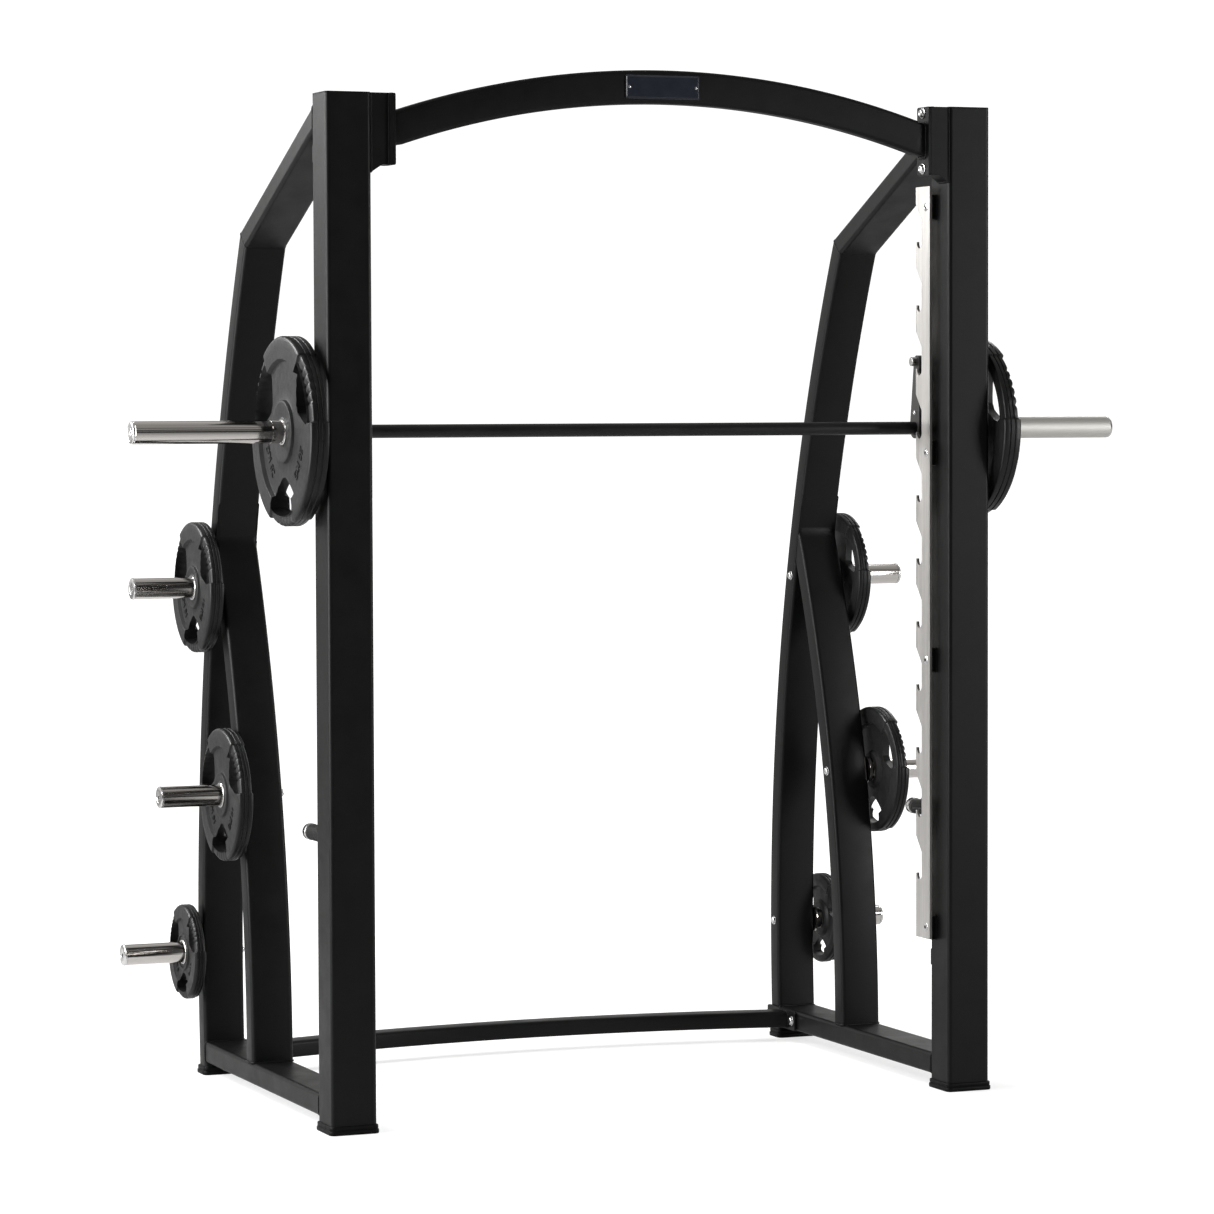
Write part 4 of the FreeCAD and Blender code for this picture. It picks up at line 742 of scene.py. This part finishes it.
for side, sg in (("left", -1), ("right", 1)):
    X = sg * 748.3
    g = Geo()
    # base tube on the post
    bead(g, rect3(X, 100, 94.6, 54.0, 0, 1, 25.0), True, 2.6, seed=1)
    # front leg on the base tube
    b = math.asin((79.0 - 51.6) / 3089.8)
    yl = 3682.7 - 3089.8 * math.cos(b)
    bead(g, rect3(X, 100, yl, 79.4, 1, 0, 25.0), True, 2.6, seed=2)
    # top brace on the post
    zb = 1961.0 + (600.0 - 94.0) * math.tan(math.radians(26.0))
    bead(g, rect3(X, 100, 94.6, zb, 0, 1, 25.0 / math.cos(math.radians(26.0))), True, 2.6, seed=3)
    # mitre at the knee
    th = math.atan2(1961.0 - 283.6, 600.0 + 3060.1)
    down = 90.0 - math.degrees(th)
    mit = math.radians((down + 26.0) / 2)
    hl = 25.0 / math.cos(math.radians((down - 26.0) / 2))
    bead(g, rect3(X, 100, 600.0, 1961.0, math.sin(mit), math.cos(mit), hl), True, 1.1, seed=4)
    # base tube on the rear upright
    a = math.asin((54.0 - 283.6) / 4001.1)
    bead(g, [Vector((X + x, -3060.1 + 4001.1 * math.cos(math.asin((54.0 + s - 283.6) / 4001.1)) - YM - 0.3, 54.0 + s)) for x, s in rrect(100, 50, 9.0, 5)], True, 2.6, seed=5)
    # crease where the leg meets the rear upright, down both side faces
    for fx in (-50.0, 50.0):
        pts = []
        for i in range(40):
            z = 1190.0 + (1368.0 - 1190.0) * i / 39
            y = -3060.1 + 4001.1 * math.cos(math.asin((z - 283.6) / 4001.1))
            # inside the leg's band only
            rr_ = math.hypot(y - 3682.7, z - 51.6)
            if 3089.8 - 25.0 <= rr_ <= 3089.8 + 25.0:
                pts.append(Vector((X + fx * 0.992, y - YM, z)))
        if len(pts) > 3:
            bead(g, pts, False, 1.2, seed=6)
    # bracket on the post: front, rear and underside seams
    xs = sg * 696.3
    bead(g, [Vector((xs, 1.6 - YM, 2256.0)), Vector((xs, 1.6 - YM, 2088.0)), Vector((xs, 50.4 - YM, 2088.0)), Vector((xs, 50.4 - YM, 2256.0))], False, 2.6, seed=7)
    xs = sg * 655.4
    bead(g, [Vector((xs, 0.6 - YM, 2254.0)), Vector((xs, 0.6 - YM, 2104.5)), Vector((xs, 51.0 - YM, 2104.5)), Vector((xs, 51.0 - YM, 2254.0))], False, 2.0, seed=8)
    # arch and cross tube on their flanges
    xa = 641.6
    za = 290.5 + math.sqrt(1996.0 ** 2 - xa ** 2)
    bead(g, [Vector((sg * xa, 28.0 + y - YM, za + z)) for y, z in rrect(40, 75 / math.cos(math.asin(xa / 1996.0)), 9.0, 5)], True, 2.4, seed=9)
    xc_ = 691.6
    yc_ = -1653.0 + math.sqrt(2643.0 ** 2 - xc_ ** 2)
    bead(g, [Vector((sg * xc_, yc_ + y - YM, 54.0 + z)) for y, z in rrect(60 / math.cos(math.asin(xc_ / 2643.0)), 40, 9.0, 5)], True, 2.4, seed=10)
    # rack lugs on the post
    for z in (2033.5, 1469.8, 993.1, 374.0):
        bead(g, [Vector((sg * 696.0, 78.0 + y - YM, z + s)) for y, s in rrect(30, 55, 1.5, 2)], True, 1.8, seed=11)
    make(side + "_welds", g.v, g.f, [PAINT], g.i, angle=60)


# ---------------------------------------------------------------------- badge
lo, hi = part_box("badge_plate")
cx, cz = (lo.x + hi.x) / 2 / MM, (lo.z + hi.z) / 2 / MM
w, h = (hi.x - lo.x) / MM, (hi.z - lo.z) / MM
yf = lo.y / MM
g = Geo()


def bring(y, grow, r):
    return [(cx + x, y, cz + z) for x, z in rrect(w + 2 * grow, h + 2 * grow, r, 5)]


g.loops([bring(hi.y / MM, 0.0, 3.0), bring(yf + 0.7, 0.0, 3.0), bring(yf + 0.1, -0.7, 2.6)], 0, caps=False)
g.loops([bring(yf + 0.1, -0.7, 2.6), bring(yf + 0.1, -2.2, 2.0), bring(yf + 0.5, -2.8, 1.8), bring(yf + 0.5, -3.6, 1.6), bring(yf + 0.1, -4.1, 1.5)], 0, caps=False)
g.add(bring(yf + 0.1, -4.1, 1.5), [tuple(range(24))], 0)
for s in (-1, 1):
    c = (cx + s * (w / 2 - 9.0), yf + 0.2, cz)
    g.lathe([(-0.2, 3.0), (0.5, 3.0), (1.1, 2.2), (1.2, 1.2)], c, (0, -1, 0), 24, 1)
o = make("badge_visual", g.v, g.f, [BADGE, BOLT], g.i, angle=40)
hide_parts("badge_plate")


# --------------------------------------------------- bumpers, catches, hooks
g = Geo()
for sg in (-1, 1):
    for z0, up in ((314.0, 1), (2084.0, -1)):
        zz = z0 if up > 0 else z0 + 30
        pr = [(0.5, 18.6), (1.5, 19.0), (7.5, 19.0), (9.5, 16.9), (11.5, 19.0), (17.5, 19.0), (19.5, 16.9), (21.5, 19.0), (27.5, 18.6), (30.0, 15.8), (30.0, 12.6), (0.5, 12.6)]
        g.lathe(pr, (sg * 748.3, 116.0 - YM, zz), (0, 0, up), 48, 0, closed=True)
o = make("rod_bumpers_visual", g.v, g.f, [RUBBER], g.i, angle=40)
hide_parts("rod_bumpers")

for side, sg in (("left", -1), ("right", 1)):
    body = side + "_catch"
    c = (sg * 748.3, 116.0 - YM, 636.0)
    g = Geo()
    pr = [(30.0, 14.1), (30.0, 16.6), (31.2, 18.0), (36.0, 18.0)]
    y = 38.0
    while y < 148.0:
        pr += [(y, 18.0), (y + 0.8, 16.7), (y + 2.6, 16.7), (y + 3.4, 18.0)]
        y += 8.0
    pr += [(155.0, 18.0), (157.6, 17.0), (158.0, 14.1)]
    g.lathe(pr, c, (0, 1, 0), 56, 0, closed=True)
    o = make(side + "_catch_grip", g.v, g.f, [RUBBER], g.i, body=body, angle=40)
    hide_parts(side + "_catch_cover")
    g = Geo()
    g.lathe([(158.4, 14.2), (158.4, 17.6), (159.6, 18.8), (174.0, 18.8), (176.4, 17.4), (177.4, 14.6), (177.4, 4.0), (176.8, 3.4)], c, (0, 1, 0), 56, 0)
    # the hole in the catch's end cap is lined with painted shade
    g.lathe([(177.0, 3.5), (174.0, 3.3), (174.0, 0.0)], c, (0, 1, 0), 20, 1)
    make(side + "_catch_end_cap", g.v, g.f, [CHROME_END, RECESS_SHADE], g.i, body=body, angle=35)
    # retaining collars at both ends of the bush the catch turns on
    g = Geo()
    z0 = 606.0
    for zz, up in ((z0 - 0.2, -1), (z0 + 84.2, 1)):
        g.lathe([(0.0, 16.2), (0.0, 18.4), (0.5, 18.9), (2.3, 18.9), (2.8, 18.3), (2.8, 12.7)], (sg * 748.3, 116.0 - YM, zz), (0, 0, up), 48, 0)
    make(side + "_catch_collars", g.v, g.f, [PIN], g.i, body=side + "_catch_slide", angle=35)
    # clamp screws of the hook levers
    g = Geo()
    lx = sg * 686.0
    a = math.radians(4.0)
    for d, r in ((36.0, 4.6),):
        y_, z_ = BAR_Y - d * math.sin(a), BAR_Z + d * math.cos(a)
        button(g, (lx, y_ - YM, z_), (-sg, 0, 0), 6.0, 3.4, 0, 0, 2.2)
    make(side + "_lever_screw", g.v, g.f, [BOLT, RECESS_SHADE], g.i, body="bar", angle=40)
    # carriage: cover screws
    g = Geo()
    for dz in (-50.0, 50.0):
        for dx in (-19.0, 19.0):
            button(g, (sg * 748.3 + dx, 184.0 - YM, BAR_Z + dz), (0, 1, 0), 4.8, 3.2, 0, 0, 1.9)
    make(side + "_carriage_screws", g.v, g.f, [BOLT, RECESS_SHADE], g.i, body="carriage", angle=40)


# ---------------------------------------------------------------------- stage
me = bpy.data.meshes.new("studio_floor")
S = 60.0
me.from_pydata([(-S, -S, 0), (S, -S, 0), (S, S, 0), (-S, S, 0)], [], [(0, 1, 2, 3)])
fl = bpy.data.objects.new("studio_floor", me)
bpy.context.scene.collection.objects.link(fl)
fm = bpy.data.materials.new("studio_white")
fm.use_nodes = True
nt = fm.node_tree
nt.nodes.clear()
out_ = nt.nodes.new("ShaderNodeOutputMaterial")
df = nt.nodes.new("ShaderNodeBsdfDiffuse")
df.inputs["Color"].default_value = (0.38, 0.38, 0.38, 1)
em = nt.nodes.new("ShaderNodeEmission")
em.inputs["Color"].default_value = (1, 1, 1, 1)
em.inputs["Strength"].default_value = 1.0
ad = nt.nodes.new("ShaderNodeAddShader")
nt.links.new(df.outputs[0], ad.inputs[0])
nt.links.new(em.outputs[0], ad.inputs[1])
nt.links.new(ad.outputs[0], out_.inputs["Surface"])
# the floor glows a little more away from the machine, so that it meets the backdrop in plain white
geo_ = nt.nodes.new("ShaderNodeNewGeometry")
ln = nt.nodes.new("ShaderNodeVectorMath")
ln.operation = "LENGTH"
nt.links.new(geo_.outputs["Position"], ln.inputs[0])
rg = nt.nodes.new("ShaderNodeMapRange")
rg.inputs["From Min"].default_value = 1.6
rg.inputs["From Max"].default_value = 3.6
rg.inputs["To Min"].default_value = 0.68
rg.inputs["To Max"].default_value = 1.15
nt.links.new(ln.outputs["Value"], rg.inputs["Value"])
lpf = nt.nodes.new("ShaderNodeLightPath")
mf = nt.nodes.new("ShaderNodeMix")
mf.data_type = "FLOAT"
mf.inputs["A"].default_value = 0.16
nt.links.new(lpf.outputs["Is Camera Ray"], mf.inputs["Factor"])
nt.links.new(rg.outputs["Result"], mf.inputs["B"])
nt.links.new(mf.outputs["Result"], em.inputs["Strength"])
me.materials.append(fm)

w_ = bpy.data.worlds.new("studio")
bpy.context.scene.world = w_
w_.use_nodes = True
nt = w_.node_tree
nt.nodes.clear()
wo = nt.nodes.new("ShaderNodeOutputWorld")
b1 = nt.nodes.new("ShaderNodeBackground")
b1.inputs["Color"].default_value = (1, 1, 1, 1)
b1.inputs["Strength"].default_value = 0.16
b2 = nt.nodes.new("ShaderNodeBackground")
b2.inputs["Color"].default_value = (1, 1, 1, 1)
b2.inputs["Strength"].default_value = 1.1
# what the metal mirrors: a dark room in front, bands overhead, the pale backdrop behind
tc = nt.nodes.new("ShaderNodeTexCoord")
sp = nt.nodes.new("ShaderNodeSeparateXYZ")
nt.links.new(tc.outputs["Generated"], sp.inputs[0])


def bands(stops):
    r = nt.nodes.new("ShaderNodeValToRGB")
    while len(r.color_ramp.elements) < len(stops):
        r.color_ramp.elements.new(0.5)
    for e, (p, c) in zip(r.color_ramp.elements, stops):
        e.position = p
        e.color = (c, c * 0.985, c * 0.965, 1.0)
    nt.links.new(sp.outputs["Z"], r.inputs["Fac"])
    return r.outputs["Color"]


fr_ = bands([(0.0, 0.05), (0.10, 0.03), (0.20, 0.05), (0.26, 0.34), (0.33, 0.07), (0.44, 0.08), (0.56, 0.45), (0.64, 0.10), (0.80, 0.36), (1.0, 0.32)])
bk_ = bands([(0.0, 0.72), (0.30, 0.66), (0.46, 0.30), (0.60, 0.14), (0.74, 0.62), (1.0, 0.44)])
fb = nt.nodes.new("ShaderNodeMapRange")
fb.inputs["From Min"].default_value = -0.25
fb.inputs["From Max"].default_value = 0.35
nt.links.new(sp.outputs["Y"], fb.inputs["Value"])
mc = nt.nodes.new("ShaderNodeMix")
mc.data_type = "RGBA"
nt.links.new(fb.outputs["Result"], mc.inputs[0])
nt.links.new(fr_, mc.inputs[6])
nt.links.new(bk_, mc.inputs[7])
nt.links.new(mc.outputs[2], b1.inputs["Color"])
b1.inputs["Strength"].default_value = 1.0
lp = nt.nodes.new("ShaderNodeLightPath")
mx = nt.nodes.new("ShaderNodeMixShader")
nt.links.new(lp.outputs["Is Camera Ray"], mx.inputs[0])
nt.links.new(b1.outputs[0], mx.inputs[1])
nt.links.new(b2.outputs[0], mx.inputs[2])
nt.links.new(mx.outputs[0], wo.inputs["Surface"])


def area(name, pos, target, size, size_y, watts, color=(1, 1, 1)):
    ld = bpy.data.lights.new(name, "AREA")
    ld.shape = "RECTANGLE"
    ld.size, ld.size_y = size, size_y
    ld.energy = watts
    ld.color = color
    ob = bpy.data.objects.new(name, ld)
    bpy.context.scene.collection.objects.link(ob)
    ob.location = pos
    ob.rotation_euler = (Vector(target) - Vector(pos)).to_track_quat("-Z", "Y").to_euler()
    ob.visible_camera = False
    return ob


area("left_softbox", (-3.6, -0.1, 1.9), (-0.6, 0.0, 1.2), 2.2, 2.8, 190)
area("left_back_softbox", (-3.2, 2.6, 3.4), (0, 0, 2.0), 1.8, 1.6, 150)
area("top_softbox", (-0.4, 0.6, 4.6), (0, 0.2, 0), 3.6, 3.6, 150).visible_glossy = False
area("front_right_softbox", (4.2, -3.9, 1.8), (0.75, -0.5, 1.3), 1.4, 2.6, 120)
area("right_back_strip", (3.4, 2.6, 2.3), (0.9, 0, 1.4), 1.2, 3.0, 60)

cam = bpy.data.cameras.new("camera")
cam.sensor_width = 36.0
cam.sensor_fit = "HORIZONTAL"
cam.lens = 4320.19 / 1214.0 * 36.0
cam.clip_end = 200.0
co = bpy.data.objects.new("camera", cam)
bpy.context.scene.collection.objects.link(co)
yaw, pit, rol = math.radians(22.47), math.radians(2.70), math.radians(-0.2)
right = Vector((math.cos(yaw), -math.sin(yaw), 0.0))
fwd = Vector((math.sin(yaw) * math.cos(pit), math.cos(yaw) * math.cos(pit), -math.sin(pit)))
up = right.cross(fwd)
right2 = math.cos(rol) * right + math.sin(rol) * up
up2 = right2.cross(fwd)
M = Matrix((right2, up2, -fwd)).transposed().to_4x4()
M.translation = Vector((-3803.6, -8832.1 - YM, 1586.7)) * MM
co.matrix_world = M
bpy.context.scene.camera = co
bpy.context.scene.view_settings.view_transform = "Standard"
bpy.context.scene.view_settings.look = "None"
